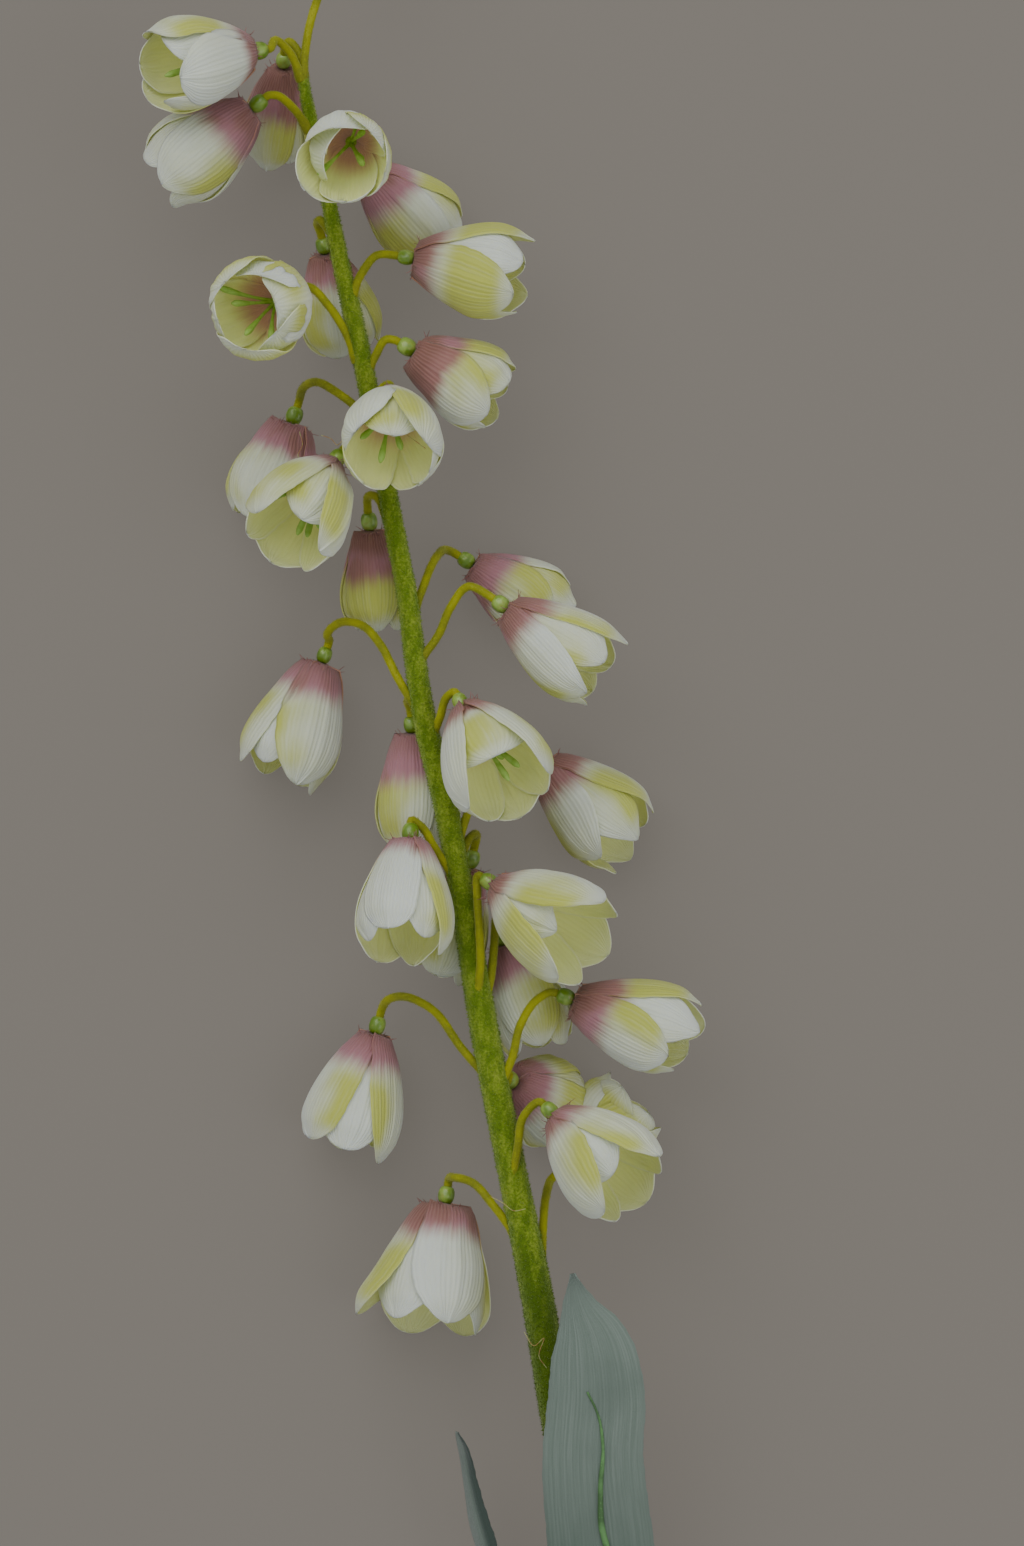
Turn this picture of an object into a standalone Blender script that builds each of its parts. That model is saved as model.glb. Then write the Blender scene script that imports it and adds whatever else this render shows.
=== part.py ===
# A cut spray of a bell-flowered fritillary, made of cloth, wire and plastic, lying on its back.
# Lengths below are in millimetres. X runs across the spray, Y from the cut end to the tip, Z up.
# The spray rests on its side bells and on the cut end of its stem, at Z = 0.

import math
from collections import namedtuple

import bmesh
import bpy
from mathutils import Matrix, Vector

MM = 0.001

# The middle of the laid spray, which becomes the origin of the part.
MIDDLE_X = -28.0
MIDDLE_Y = -64.0

# Gap left between pieces that touch, and how near points are welded within a piece.
SEAT_GAP = 0.3
WELD = 0.001

# Petals: half their width and the roundness of their bow go with the belly of the bell.
PETALS = 6
PETAL_THICKNESS = 0.8
LAYER_SHIFT = 0.8
PETAL_WIDTH_SHARE = 0.64
PETAL_BOW_SHARE = 0.92

# The gathered neck that the petals grow from, with the hole for the pin.
NECK_RADIUS = 4.6
NECK_DEPTH = 3.4
NECK_HOLE_RADIUS = 1.6
OUTER_ROOT_DEPTH = 0.5
INNER_ROOT_DEPTH = 2.1

# Bead above the neck, pin through it and the knob under it that holds the stamens. Depths are
# measured from the top of the neck into the bell.
BEAD_RADIUS = 2.9
BEAD_TOP_RADIUS = 1.45
BEAD_TOP_DEPTH = -5.6
BEAD_WIDE_FROM = -4.0
BEAD_WIDE_TO = -2.2
BEAD_FOOT_DEPTH = -0.4
PIN_RADIUS = 1.1
KNOB_RADIUS = 1.9
KNOB_TOP_DEPTH = NECK_DEPTH + SEAT_GAP
KNOB_WIDE_DEPTH = 4.4
KNOB_FOOT_DEPTH = 5.9
KNOB_FOOT_RADIUS = 1.15

# Stamens, one from each side of the knob
STAMEN_RADIUS = 0.85
STAMEN_SHARE = 0.4
STAMEN_SPREAD = 24.0

# Pedicels and stalk
PEDICEL_RADIUS = 1.15
PEDICEL_SIDES = 5
PEDICEL_END_DEPTH = -7.1
PEDICEL_MORE_RINGS = 4
CURVE_PIECES = 8
STALK_SIDES = 8

# Leaves
LEAF_THICKNESS = 0.8

# Centre line of the stalk from the cut end to the tip: x, y, z and radius.
STALK = (
    (49.0, -418.0, 5.55, 5.6),
    (42.5, -376.0, 11.5, 5.5),
    (35.5, -336.0, 18.0, 5.4),
    (28.5, -297.0, 26.0, 5.3),
    (22.5, -258.0, 33.0, 5.3),
    (15.5, -218.0, 38.5, 5.3),
    (8.5, -175.0, 41.8, 5.3),
    (1.5, -140.0, 42.0, 4.8),
    (-9.5, -84.0, 42.0, 4.6),
    (-17.5, -36.0, 42.0, 3.9),
    (-23.0, -7.0, 42.0, 3.9),
    (-29.0, 17.0, 42.0, 3.8),
    (-35.5, 62.0, 42.0, 3.3),
    (-40.5, 88.0, 42.0, 3.2),
    (-49.5, 136.0, 42.0, 3.2),
    (-58.5, 177.0, 42.0, 2.7),
    (-64.5, 208.0, 42.0, 2.1),
    (-68.0, 222.0, 42.0, 2.0),
    (-70.0, 233.0, 42.0, 1.8),
)

# The closed bud at the tip, which has no stamens.
BUD = "bud_tip"

Bell = namedtuple("Bell", "name neck heading tilt roll length belly mouth route")

# Every bell: where its neck is, the way it points in the plane of the spray and above it (degrees),
# how far its first outer petal is turned from the upper side, its length, its radius at the belly
# and at the mouth, and the points of its pedicel from the stalk.
BELLS = (
    Bell("bell_01", (-86.5, 239.0, 58.0), 193, 30, 335, 35, 16.0, 14.0,
         ((-70.0, 231.0, 42.0), (-74.5, 240.5, 46.0), (-79.0, 243.5, 51.0))),
    Bell("bell_02", (-76.5, 236.0, 33.0), 264, -38, 20, 34, 12.5, 9.5,
         ((-69.5, 232.0, 41.0), (-71.5, 241.0, 40.5), (-74.5, 244.0, 39.5))),
    Bell("bell_03", (-86.5, 221.0, 48.0), 218, -8, 350, 37, 15.5, 12.5,
         ((-67.5, 214.0, 42.0), (-73.0, 221.5, 45.5), (-79.0, 225.5, 48.5))),
    Bell("bell_04", (-53.0, 210.5, 52.0), 250, 74, 30, 35, 16.5, 15.5,
         ((-65.5, 208.0, 42.0), (-60.0, 212.0, 43.0))),
    Bell("bell_05", (-48.0, 201.0, 26.0), 317, -22, 20, 34, 15.0, 12.0,
         ((-63.0, 198.0, 41.0), (-58.5, 205.0, 39.5), (-53.5, 208.0, 34.0))),
    Bell("bell_06", (-32.5, 171.0, 48.0), 349, 8, 30, 36, 16.0, 13.0,
         ((-54.0, 157.0, 42.0), (-50.0, 166.5, 44.0), (-44.5, 172.5, 46.0))),
    Bell("bell_07", (-77.5, 157.0, 52.0), 215, 76, 340, 35, 17.0, 16.0,
         ((-55.0, 146.0, 42.0), (-61.0, 155.0, 43.5), (-68.0, 162.0, 44.0))),
    Bell("bell_08", (-62.5, 174.0, 28.0), 283, -20, 20, 34, 13.5, 11.0,
         ((-59.5, 180.0, 41.0), (-64.0, 184.5, 38.5), (-65.0, 183.0, 33.0))),
    Bell("bell_09", (-32.5, 140.5, 44.0), 330, 0, 20, 33, 15.0, 12.5,
         ((-49.0, 131.0, 42.0), (-45.5, 139.0, 43.0), (-41.5, 144.5, 44.0))),
    Bell("bell_10", (-40.5, 124.5, 54.0), 272, 50, 60, 33, 17.0, 16.0,
         ((-47.0, 120.0, 42.0), (-44.0, 127.5, 44.5))),
    Bell("bell_11", (-74.0, 117.5, 16.4), 252, 0, 20, 33, 15.5, 13.0,
         ((-47.0, 118.0, 42.0), (-58.5, 127.0, 40.0), (-64.5, 130.5, 35.0), (-70.0, 129.0, 25.0))),
    Bell("bell_12", (-59.5, 102.5, 51.0), 238, 35, 45, 36, 17.0, 16.0,
         ((-45.0, 111.0, 42.0), (-49.5, 112.0, 45.5))),
    Bell("bell_13", (-48.0, 81.0, 27.0), 273, -12, 10, 34, 13.5, 11.0,
         ((-41.5, 86.0, 41.0), (-45.0, 92.0, 38.0), (-48.0, 92.5, 33.0))),
    Bell("bell_14", (-13.0, 70.0, 14.57), 328, 0, 10, 34, 14.0, 11.5,
         ((-35.5, 60.0, 41.0), (-29.0, 66.0, 39.0), (-25.5, 72.5, 33.0), (-21.5, 75.0, 25.0))),
    Bell("bell_15", (-1.5, 54.5, 50.0), 324, 5, 35, 38, 15.0, 13.5,
         ((-32.0, 36.0, 42.0), (-24.5, 46.0, 43.5), (-20.5, 55.0, 45.5), (-14.5, 62.0, 48.0))),
    Bell("bell_16", (-64.0, 37.0, 17.27), 250, 0, 330, 41, 16.5, 15.0,
         ((-30.0, 18.0, 42.0), (-38.5, 32.5, 42.0), (-44.0, 43.0, 40.5), (-49.5, 49.0, 37.0),
          (-57.0, 50.5, 30.5), (-62.0, 46.5, 22.5))),
    Bell("bell_17", (-33.5, 13.5, 26.0), 274, -8, 20, 37, 14.0, 12.0,
         ((-29.5, 20.0, 40.0), (-33.5, 24.5, 36.0), (-35.0, 24.0, 31.0))),
    Bell("bell_18", (-16.0, 21.5, 52.0), 299, 30, 45, 37, 18.0, 17.0,
         ((-27.5, 10.0, 42.0), (-24.0, 18.5, 44.5), (-21.5, 25.5, 46.5))),
    Bell("bell_19", (11.0, 3.0, 16.64), 317, 0, 40, 39, 16.5, 14.0,
         ((-19.0, -28.0, 42.0), (-15.0, -14.0, 40.5), (-9.5, -1.0, 36.0), (-3.0, 6.5, 28.0),
          (2.5, 9.0, 21.0))),
    Bell("bell_20", (-34.0, -22.5, 50.0), 266, 20, 70, 38, 16.5, 15.0,
         ((-18.5, -36.0, 42.0), (-26.0, -24.5, 44.5), (-30.5, -17.5, 46.5))),
    Bell("bell_21", (-14.5, -31.5, 25.0), 254, -6, 0, 36, 13.0, 10.5,
         ((-17.5, -27.0, 40.0), (-14.0, -21.5, 37.0), (-12.0, -20.5, 31.5))),
    Bell("bell_22", (-5.5, -37.5, 52.0), 328, 26, 60, 39, 17.5, 18.0,
         ((-11.5, -74.0, 44.0), (-10.5, -63.0, 47.5), (-11.0, -50.0, 48.5), (-11.5, -41.0, 48.5))),
    Bell("bell_23", (-2.5, -57.5, 25.0), 290, -5, 0, 35, 14.5, 12.0,
         ((-10.0, -80.0, 41.0), (-7.0, -68.0, 41.5), (-6.0, -58.0, 39.5), (-5.5, -50.5, 34.0))),
    Bell("bell_24", (20.5, -75.5, 44.0), 340, 2, 30, 42, 16.0, 13.5,
         ((-5.0, -107.0, 42.0), (0.0, -95.0, 43.5), (3.0, -83.5, 44.5), (9.0, -75.0, 45.0))),
    Bell("bell_25", (-46.0, -87.5, 16.7), 255, 0, 320, 40, 16.5, 15.5,
         ((-6.0, -104.0, 42.0), (-17.0, -91.5, 41.0), (-26.0, -79.5, 37.0), (-35.0, -75.0, 31.0),
          (-41.5, -76.0, 23.5))),
    Bell("bell_26", (0.5, -103.5, 31.5), 325, -52, 0, 30, 16.0, 12.0,
         ((-4.0, -106.0, 40.5), (-1.0, -100.5, 39.0))),
    Bell("bell_27", (14.5, -114.0, 52.0), 317, 22, 55, 37, 17.5, 16.0,
         ((-0.5, -140.0, 44.0), (2.0, -124.0, 47.0), (4.0, -114.0, 48.0))),
    Bell("bell_28", (26.5, -133.5, 13.35), 38, 0, 30, 26, 12.5, 11.0,
         ((9.0, -173.0, 41.0), (12.0, -160.0, 40.0), (11.5, -148.0, 34.0), (14.0, -142.5, 22.0))),
    Bell("bell_29", (-22.5, -144.5, 19.75), 261, 4, 345, 43, 20.0, 24.0,
         ((2.5, -156.0, 42.0), (-6.0, -144.5, 40.0), (-13.0, -137.0, 34.5), (-19.0, -135.5, 28.0))),
    Bell(BUD, (-44.0, 285.0, 42.0), 310, -5, 0, 18, 7.0, 2.6,
         ((-70.0, 231.0, 42.0), (-67.5, 249.0, 42.0), (-62.0, 266.0, 42.5), (-57.0, 281.0, 43.0),
          (-51.0, 289.0, 43.0))),
)

Row = namedtuple("Row", "centre half turn bow")

# Leaves from the clasping foot to the tip: centre of the blade, half its width, how far its
# face is turned from the upper side about the blade's own line (degrees), and how deep it bows.
LEAF_LARGE = (
    Row((38.0, -352.0, 21.8), 6.0, 0, 3.0),
    Row((36.5, -340.0, 26.5), 11.0, 0, 5.5),
    Row((35.5, -318.0, 33.5), 15.5, 0, 4.5),
    Row((33.0, -288.0, 43.0), 17.8, 0, 4.0),
    Row((29.5, -257.0, 51.0), 17.5, 0, 3.5),
    Row((27.0, -227.0, 57.0), 16.6, 0, 3.0),
    Row((28.0, -205.0, 61.0), 16.0, 0, 2.5),
    Row((26.0, -188.0, 63.5), 12.5, 0, 2.0),
    Row((23.5, -175.0, 65.0), 7.5, 0, 1.5),
    Row((20.0, -165.5, 66.0), 1.0, 0, 0.0),
)
LEAF_SMALL = (
    Row((33.5, -362.0, 16.5), 4.5, -60, 2.0),
    Row((26.5, -352.0, 19.0), 6.5, -62, 3.0),
    Row((15.0, -330.0, 21.0), 8.0, -64, 3.0),
    Row((3.0, -300.0, 22.5), 8.5, -66, 3.0),
    Row((-6.5, -273.0, 24.0), 8.0, -66, 2.8),
    Row((-12.5, -252.0, 25.5), 7.0, -66, 2.3),
    Row((-16.5, -236.0, 27.0), 5.0, -66, 1.5),
    Row((-19.0, -221.0, 29.0), 1.2, -66, 0.0),
)


def placed(x, y, z):
    """A point of the spray, carried to the part's own origin."""
    return Vector((x - MIDDLE_X, y - MIDDLE_Y, z))


def material(name, colour, roughness):
    made = bpy.data.materials.new(name)
    made.use_nodes = True
    shader = made.node_tree.nodes["Principled BSDF"]
    shader.inputs["Base Color"].default_value = (*colour, 1.0)
    shader.inputs["Roughness"].default_value = roughness
    shader.inputs["Metallic"].default_value = 0.0
    return made


def solid(name, points, faces, finish):
    """A mesh object from points in millimetres and faces, shaded smooth over its soft edges."""
    mesh = bpy.data.meshes.new(name)
    mesh.from_pydata([tuple(p * MM) for p in points], [], faces)
    mesh.validate()
    shape = bmesh.new()
    shape.from_mesh(mesh)
    bmesh.ops.remove_doubles(shape, verts=shape.verts, dist=WELD * MM)
    bmesh.ops.recalc_face_normals(shape, faces=shape.faces)
    if shape.calc_volume(signed=True) < 0:
        bmesh.ops.reverse_faces(shape, faces=shape.faces)
    shape.to_mesh(mesh)
    shape.free()
    made = bpy.data.objects.new(name, mesh)
    made.data.materials.append(finish)
    bpy.context.scene.collection.objects.link(made)
    return made


def fuse(name, pieces):
    """One body from pieces that are sunk into each other."""
    body = pieces[0]
    group = bpy.data.collections.new(name + "_pieces")
    bpy.context.scene.collection.children.link(group)
    for piece in pieces[1:]:
        bpy.context.scene.collection.objects.unlink(piece)
        group.objects.link(piece)
    union = body.modifiers.new("Union", "BOOLEAN")
    union.operation = "UNION"
    union.operand_type = "COLLECTION"
    union.collection = group
    union.solver = "MANIFOLD"
    seen = body.evaluated_get(bpy.context.evaluated_depsgraph_get())
    fused = bpy.data.meshes.new_from_object(seen)
    body.modifiers.clear()
    body.data = fused
    body.name = name
    for piece in list(group.objects):
        bpy.data.objects.remove(piece)
    bpy.data.collections.remove(group)
    return body


def curve_through(stations, pieces):
    """Points on a smooth curve through the stations, with so many pieces between each two."""
    line = [stations[0] * 2 - stations[1], *stations, stations[-1] * 2 - stations[-2]]
    points = []
    for a, b, c, d in zip(line, line[1:], line[2:], line[3:]):
        for i in range(pieces):
            t = i / pieces
            points.append(
                (b * 2 + (c - a) * t + (a * 2 - b * 5 + c * 4 - d) * t**2
                 + (b * 3 - a - c * 3 + d) * t**3) / 2
            )
    points.append(stations[-1])
    return points


def evenly(points, count):
    """So many points spread evenly along a line of points."""
    steps = [(q - p).length for p, q in zip(points, points[1:])]
    whole = sum(steps)
    spread = []
    for k in range(count):
        left = whole * k / (count - 1)
        i = 0
        while i < len(steps) - 1 and left > steps[i]:
            left -= steps[i]
            i += 1
        spread.append(points[i].lerp(points[i + 1], min(1.0, left / steps[i])))
    return spread


def ring(centre, along, across, radius, sides):
    """Points around a line, and the way across it that the next ring starts from."""
    across = (across - along * across.dot(along)).normalized()
    beside = along.cross(across)
    turns = [math.tau * k / sides for k in range(sides)]
    return [centre + (across * math.cos(t) + beside * math.sin(t)) * radius for t in turns], across


def rod(line, radii, sides, across):
    """Points and faces of a closed round rod along a line, with a radius for each point."""
    points = []
    last = len(line) - 1
    for i, centre in enumerate(line):
        along = (line[min(i + 1, last)] - line[max(i - 1, 0)]).normalized()
        circle, across = ring(centre, along, across, radii[i], sides)
        points += circle
    faces = [
        (i * sides + k, i * sides + (k + 1) % sides,
         (i + 1) * sides + (k + 1) % sides, (i + 1) * sides + k)
        for i in range(last) for k in range(sides)
    ]
    faces.append(tuple(range(sides)))
    faces.append(tuple(last * sides + k for k in range(sides)))
    return points, faces


def bell_frame(bell):
    """The neck, the way the bell points, its upper side and the side across both."""
    heading = math.radians(bell.heading)
    tilt = math.radians(bell.tilt)
    axis = Vector((
        math.cos(tilt) * math.cos(heading), math.cos(tilt) * math.sin(heading), math.sin(tilt),
    ))
    upper = (Vector((0.0, 0.0, 1.0)) - axis * axis.z).normalized()
    return placed(*bell.neck), axis, upper, axis.cross(upper)


def petal_rows(bell, inner):
    """Radius, depth and half width of a petal, from its shoulder to its tip."""
    belly = bell.belly
    flare = bell.mouth - belly
    widest = PETAL_WIDTH_SHARE * belly
    if inner:
        return (
            (0.90 * belly, 0.28 * bell.length, 0.86 * widest),
            (belly + 0.7 * flare, 0.84 * bell.length, 0.76 * widest),
            (bell.mouth, bell.length, 0.0),
        )
    return (
        (0.66 * belly, 0.115 * bell.length, 0.70 * widest),
        (belly, 0.50 * bell.length, widest),
        (belly + 0.75 * flare, 0.87 * bell.length, 0.68 * widest),
        (bell.mouth, bell.length, 0.0),
    )


def strip(low, high):
    """Triangles between two rows of point numbers, with the short row first or last."""
    if len(high) == 1:
        return [(low[0], low[1], high[0]), (low[1], low[2], high[0])]
    if len(low) == 2:
        return [(low[0], high[1], high[0]), (low[0], low[1], high[1]), (low[1], high[2], high[1])]
    return [
        (low[0], low[1], high[1]), (low[0], high[1], high[0]),
        (low[1], low[2], high[1]), (low[2], high[2], high[1]),
    ]


def petal(bell, turn, inner):
    """Points and faces of a bowed blade with two skins, open at its root and pointed at its tip."""
    neck, axis, upper, side = bell_frame(bell)
    out = upper * math.cos(turn) + side * math.sin(turn)
    round_side = side * math.cos(turn) - upper * math.sin(turn)
    layer = -LAYER_SHIFT if inner else LAYER_SHIFT
    root_depth = INNER_ROOT_DEPTH if inner else OUTER_ROOT_DEPTH
    half_corner = math.pi / PETALS
    root_out = NECK_RADIUS * math.cos(half_corner)
    root_half = NECK_RADIUS * math.sin(half_corner)
    rows = petal_rows(bell, inner)
    whole = [(root_out, root_depth, root_half), *rows]
    points = []
    faces = []
    before_row = None
    for i, (radius, depth, half) in enumerate(whole):
        before = whole[max(i - 1, 0)]
        after = whole[min(i + 1, len(whole) - 1)]
        rise = Vector((after[0] - before[0], after[1] - before[1])).normalized()
        bow = PETAL_BOW_SHARE * radius
        columns = (-1, 1) if i == 0 else (0,) if half == 0 else (-1, 0, 1)
        row = ([], [])
        for u in columns:
            angle = u * half / bow if i else 0.0
            shift = bow * math.sin(angle) if i else u * half
            middle = radius - bow * (1 - math.cos(angle)) if i else radius
            point = neck + axis * depth + out * middle + round_side * shift
            normal = (out * math.cos(angle) + round_side * math.sin(angle)) * rise.y - axis * rise.x
            for skin in (0, 1):
                offset = layer + PETAL_THICKNESS * (0.5 - skin)
                row[skin].append(len(points))
                points.append(point + (normal * offset if i else axis * PETAL_THICKNESS * skin))
        if before_row:
            faces += strip(before_row[0], row[0])
            faces += [tuple(reversed(tri)) for tri in strip(before_row[1], row[1])]
            for end in (0, -1):
                a, b = before_row[0][end], row[0][end]
                c, d = row[1][end], before_row[1][end]
                faces += [(a, b, c), (a, c, d)]
        before_row = row
    return points, faces


def gathered_neck(bell):
    """Points and faces of the six-sided neck, open where a petal grows from each side."""
    neck, axis, upper, side = bell_frame(bell)
    outer_end = OUTER_ROOT_DEPTH + PETAL_THICKNESS
    inner_end = INNER_ROOT_DEPTH + PETAL_THICKNESS
    wall = (0.0, OUTER_ROOT_DEPTH, outer_end, INNER_ROOT_DEPTH, inner_end, NECK_DEPTH)
    profile = [(NECK_RADIUS, depth) for depth in wall]
    profile += [(NECK_HOLE_RADIUS, NECK_DEPTH), (NECK_HOLE_RADIUS, 0.0)]
    points = []
    for radius, depth in profile:
        for k in range(PETALS):
            turn = math.radians(bell.roll) + math.tau * (k - 0.5) / PETALS
            out = upper * math.cos(turn) + side * math.sin(turn)
            points.append(neck + axis * depth + out * radius)
    faces = []
    outer_root, inner_root = 1, 3
    for i in range(len(profile)):
        j = (i + 1) % len(profile)
        for k in range(PETALS):
            if i == (inner_root if k % 2 else outer_root):
                continue
            n = (k + 1) % PETALS
            faces.append((i * PETALS + k, i * PETALS + n, j * PETALS + n, j * PETALS + k))
    return points, faces


def bloom(bell, finish):
    """Three outer and three inner petals growing from the gathered neck, in one body."""
    points, faces = gathered_neck(bell)
    for i in range(PETALS):
        turn = math.radians(bell.roll) + math.tau * i / PETALS
        more, blade = petal(bell, turn, i % 2 == 1)
        faces += [tuple(v + len(points) for v in face) for face in blade]
        points += more
    return solid(bell.name, points, faces, finish)


def flower_stalk(bell, finish):
    """Pedicel, bead, pin and knob as one swept rod, with a stamen drawn from each knob side."""
    neck, axis, upper, side = bell_frame(bell)
    stations = [placed(*p) for p in bell.route] + [neck + axis * PEDICEL_END_DEPTH]
    line = evenly(curve_through(stations, CURVE_PIECES), len(bell.route) + PEDICEL_MORE_RINGS)
    radii = [PEDICEL_RADIUS] * len(line)
    for radius, depth in (
        (BEAD_TOP_RADIUS, BEAD_TOP_DEPTH),
        (BEAD_RADIUS, BEAD_WIDE_FROM),
        (BEAD_RADIUS, BEAD_WIDE_TO),
        (PIN_RADIUS, BEAD_FOOT_DEPTH),
        (PIN_RADIUS, KNOB_TOP_DEPTH),
        (KNOB_RADIUS, KNOB_WIDE_DEPTH),
        (KNOB_FOOT_RADIUS, KNOB_FOOT_DEPTH),
    ):
        line.append(neck + axis * depth)
        radii.append(radius)
    sides = PEDICEL_SIDES
    points, faces = rod(line, radii, sides, upper)
    if bell.name == BUD:
        return solid("flower_stalk", points, faces, finish)
    low = (len(line) - 2) * sides
    for k in range(sides):
        n = (k + 1) % sides
        root = (low + k, low + n, low + sides + n, low + sides + k)
        faces.remove(root)
        corners = [points[v] for v in root]
        middle = sum(corners, Vector()) / 4
        out = middle - neck - axis * (middle - neck).dot(axis)
        spread = math.radians(STAMEN_SPREAD)
        way = axis * math.cos(spread) + out.normalized() * math.sin(spread)
        end = middle + way * STAMEN_SHARE * bell.length
        wide = way.cross(out).normalized() * STAMEN_RADIUS
        deep = wide.cross(way).normalized() * STAMEN_RADIUS
        tips = [end + wide * a + deep * b for a, b in ((-1, 1), (1, 1), (1, -1), (-1, -1))]
        if (corners[1] - corners[0]).dot(wide) < 0:
            tips = [tips[1], tips[0], tips[3], tips[2]]
        start = len(points)
        points += tips
        for a in range(4):
            b = (a + 1) % 4
            faces.append((root[a], root[b], start + b, start + a))
        faces.append(tuple(range(start, start + 4)))
    return solid("flower_stalk", points, faces, finish)


def stem(finish):
    """The stalk with its pedicels, beads, pins and stamens in one body."""
    line = [placed(x, y, z) for x, y, z, radius in STALK]
    points, faces = rod(line, [row[3] for row in STALK], STALK_SIDES, Vector((0.0, 0.0, 1.0)))
    pieces = [solid("stem", points, faces, finish)]
    pieces += [flower_stalk(bell, finish) for bell in BELLS]
    return fuse("stem", pieces)


def leaf(name, rows, finish):
    """A bowed blade with even thickness, split alike on both faces."""
    columns = (-1.0, -0.5, 0.0, 0.5, 1.0)
    wide = len(columns)
    skins = ([], [])
    centres = [placed(*row.centre) for row in rows]
    for i, row in enumerate(rows):
        along = (centres[min(i + 1, len(rows) - 1)] - centres[max(i - 1, 0)]).normalized()
        face = (Vector((0.0, 0.0, 1.0)) - along * along.z).normalized()
        face = Matrix.Rotation(math.radians(row.turn), 3, along) @ face
        across = along.cross(face)
        for u in columns:
            point = centres[i] + across * (u * row.half) - face * (row.bow * u * u)
            lean = 2 * row.bow * u / row.half
            normal = (face + across * lean).normalized()
            skins[0].append(point + normal * LEAF_THICKNESS / 2)
            skins[1].append(point - normal * LEAF_THICKNESS / 2)
    count = len(skins[0])
    faces = []
    for i in range(len(rows) - 1):
        for k in range(wide - 1):
            a, b = i * wide + k, i * wide + k + 1
            c, d = b + wide, a + wide
            pair = ((a, b, c), (a, c, d)) if k < wide // 2 else ((a, b, d), (b, c, d))
            for tri in pair:
                faces.append(tri)
                faces.append(tuple(v + count for v in reversed(tri)))
    top = (len(rows) - 1) * wide
    rim = list(range(0, top, wide)) + list(range(top, top + wide))
    rim += list(range(top - 1, wide - 2, -wide)) + list(range(wide - 2, 0, -1))
    for a, b in zip(rim, rim[1:] + rim[:1]):
        faces.append((a, b, b + count))
        faces.append((a, b + count, a + count))
    return solid(name, skins[0] + skins[1], faces, finish)


def build():
    for old in list(bpy.data.objects):
        bpy.data.objects.remove(old)
    stem_green = material("flocked_green", (0.14, 0.19, 0.02), 0.95)
    petal_cream = material("petal_cloth", (0.60, 0.62, 0.45), 0.7)
    leaf_green = material("leaf_cloth", (0.18, 0.24, 0.20), 0.65)
    stem(stem_green)
    for bell in BELLS:
        bloom(bell, petal_cream)
    leaf("leaf_large", LEAF_LARGE, leaf_green)
    leaf("leaf_small", LEAF_SMALL, leaf_green)


build()
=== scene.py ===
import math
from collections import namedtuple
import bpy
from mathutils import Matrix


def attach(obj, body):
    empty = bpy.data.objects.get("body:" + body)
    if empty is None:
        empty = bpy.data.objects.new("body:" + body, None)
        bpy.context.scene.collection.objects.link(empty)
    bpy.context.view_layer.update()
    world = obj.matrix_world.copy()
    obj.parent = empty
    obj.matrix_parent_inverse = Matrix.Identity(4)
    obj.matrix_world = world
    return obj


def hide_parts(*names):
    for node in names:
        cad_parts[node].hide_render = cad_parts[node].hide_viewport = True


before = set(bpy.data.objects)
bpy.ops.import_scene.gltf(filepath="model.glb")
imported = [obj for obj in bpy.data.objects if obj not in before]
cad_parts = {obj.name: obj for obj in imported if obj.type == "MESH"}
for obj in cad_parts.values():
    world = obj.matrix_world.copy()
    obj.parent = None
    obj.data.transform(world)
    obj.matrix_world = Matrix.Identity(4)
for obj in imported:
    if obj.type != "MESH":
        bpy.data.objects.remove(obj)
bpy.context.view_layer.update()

# A cut spray of a bell-flowered fritillary in printed cloth, wire and plastic, lying on its back.
# Sizes are in millimetres until a mesh is made. The CAD node of each piece is replaced in place.
from types import SimpleNamespace

import bmesh
import bpy
import numpy as np
from mathutils import Matrix, Vector

mm = 0.001
middle = Vector((-28.0, -64.0, 0.0))     # of the laid spray, under which the part has its origin
wholeBody = "root"
print("frame loaded:", len(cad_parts), "nodes")


# Camera, floor and light: straight down on the lying spray, as the upright one was seen
view = {
    "frameTall": 515.3,                  # what the picture's long side covers at the stalk
    "distance": 3000.0,
    "aim": (0.0, 0.0, 42.0),             # the middle of the picture, on the stalk's level
    "sensor": 36.0,
    "floor": 6000.0,
    "floorColour": (0.092, 0.084, 0.0735),
    "floorLift": 0.124,                  # evens the floor out, as a far backdrop would be
    "keyFrom": (-700.0, 1500.0, 1900.0),
    "keySize": 2300.0,
    "keyPower": 36.0,
    "fillFrom": (1500.0, -500.0, 1500.0),
    "fillSize": 1800.0,
    "fillPower": 12.0,
    "air": (0.93, 0.96, 1.0),
    "airStrength": 0.52,
}


def placed(point):
    return Vector(point) - middle


class Wire:                              # the output of a node, used like a number
    def __init__(self, graph, socket):
        self.graph = graph
        self.socket = socket

    def __add__(self, other):
        return self.graph.maths("ADD", self, other)

    def __sub__(self, other):
        return self.graph.maths("SUBTRACT", self, other)

    def __mul__(self, other):
        return self.graph.maths("MULTIPLY", self, other)

    def __pow__(self, other):
        return self.graph.maths("POWER", self, other)

    def __rsub__(self, other):
        return self.graph.maths("SUBTRACT", other, self)

    def __neg__(self):
        return self.graph.maths("MULTIPLY", self, -1.0)

    __radd__ = __add__


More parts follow.
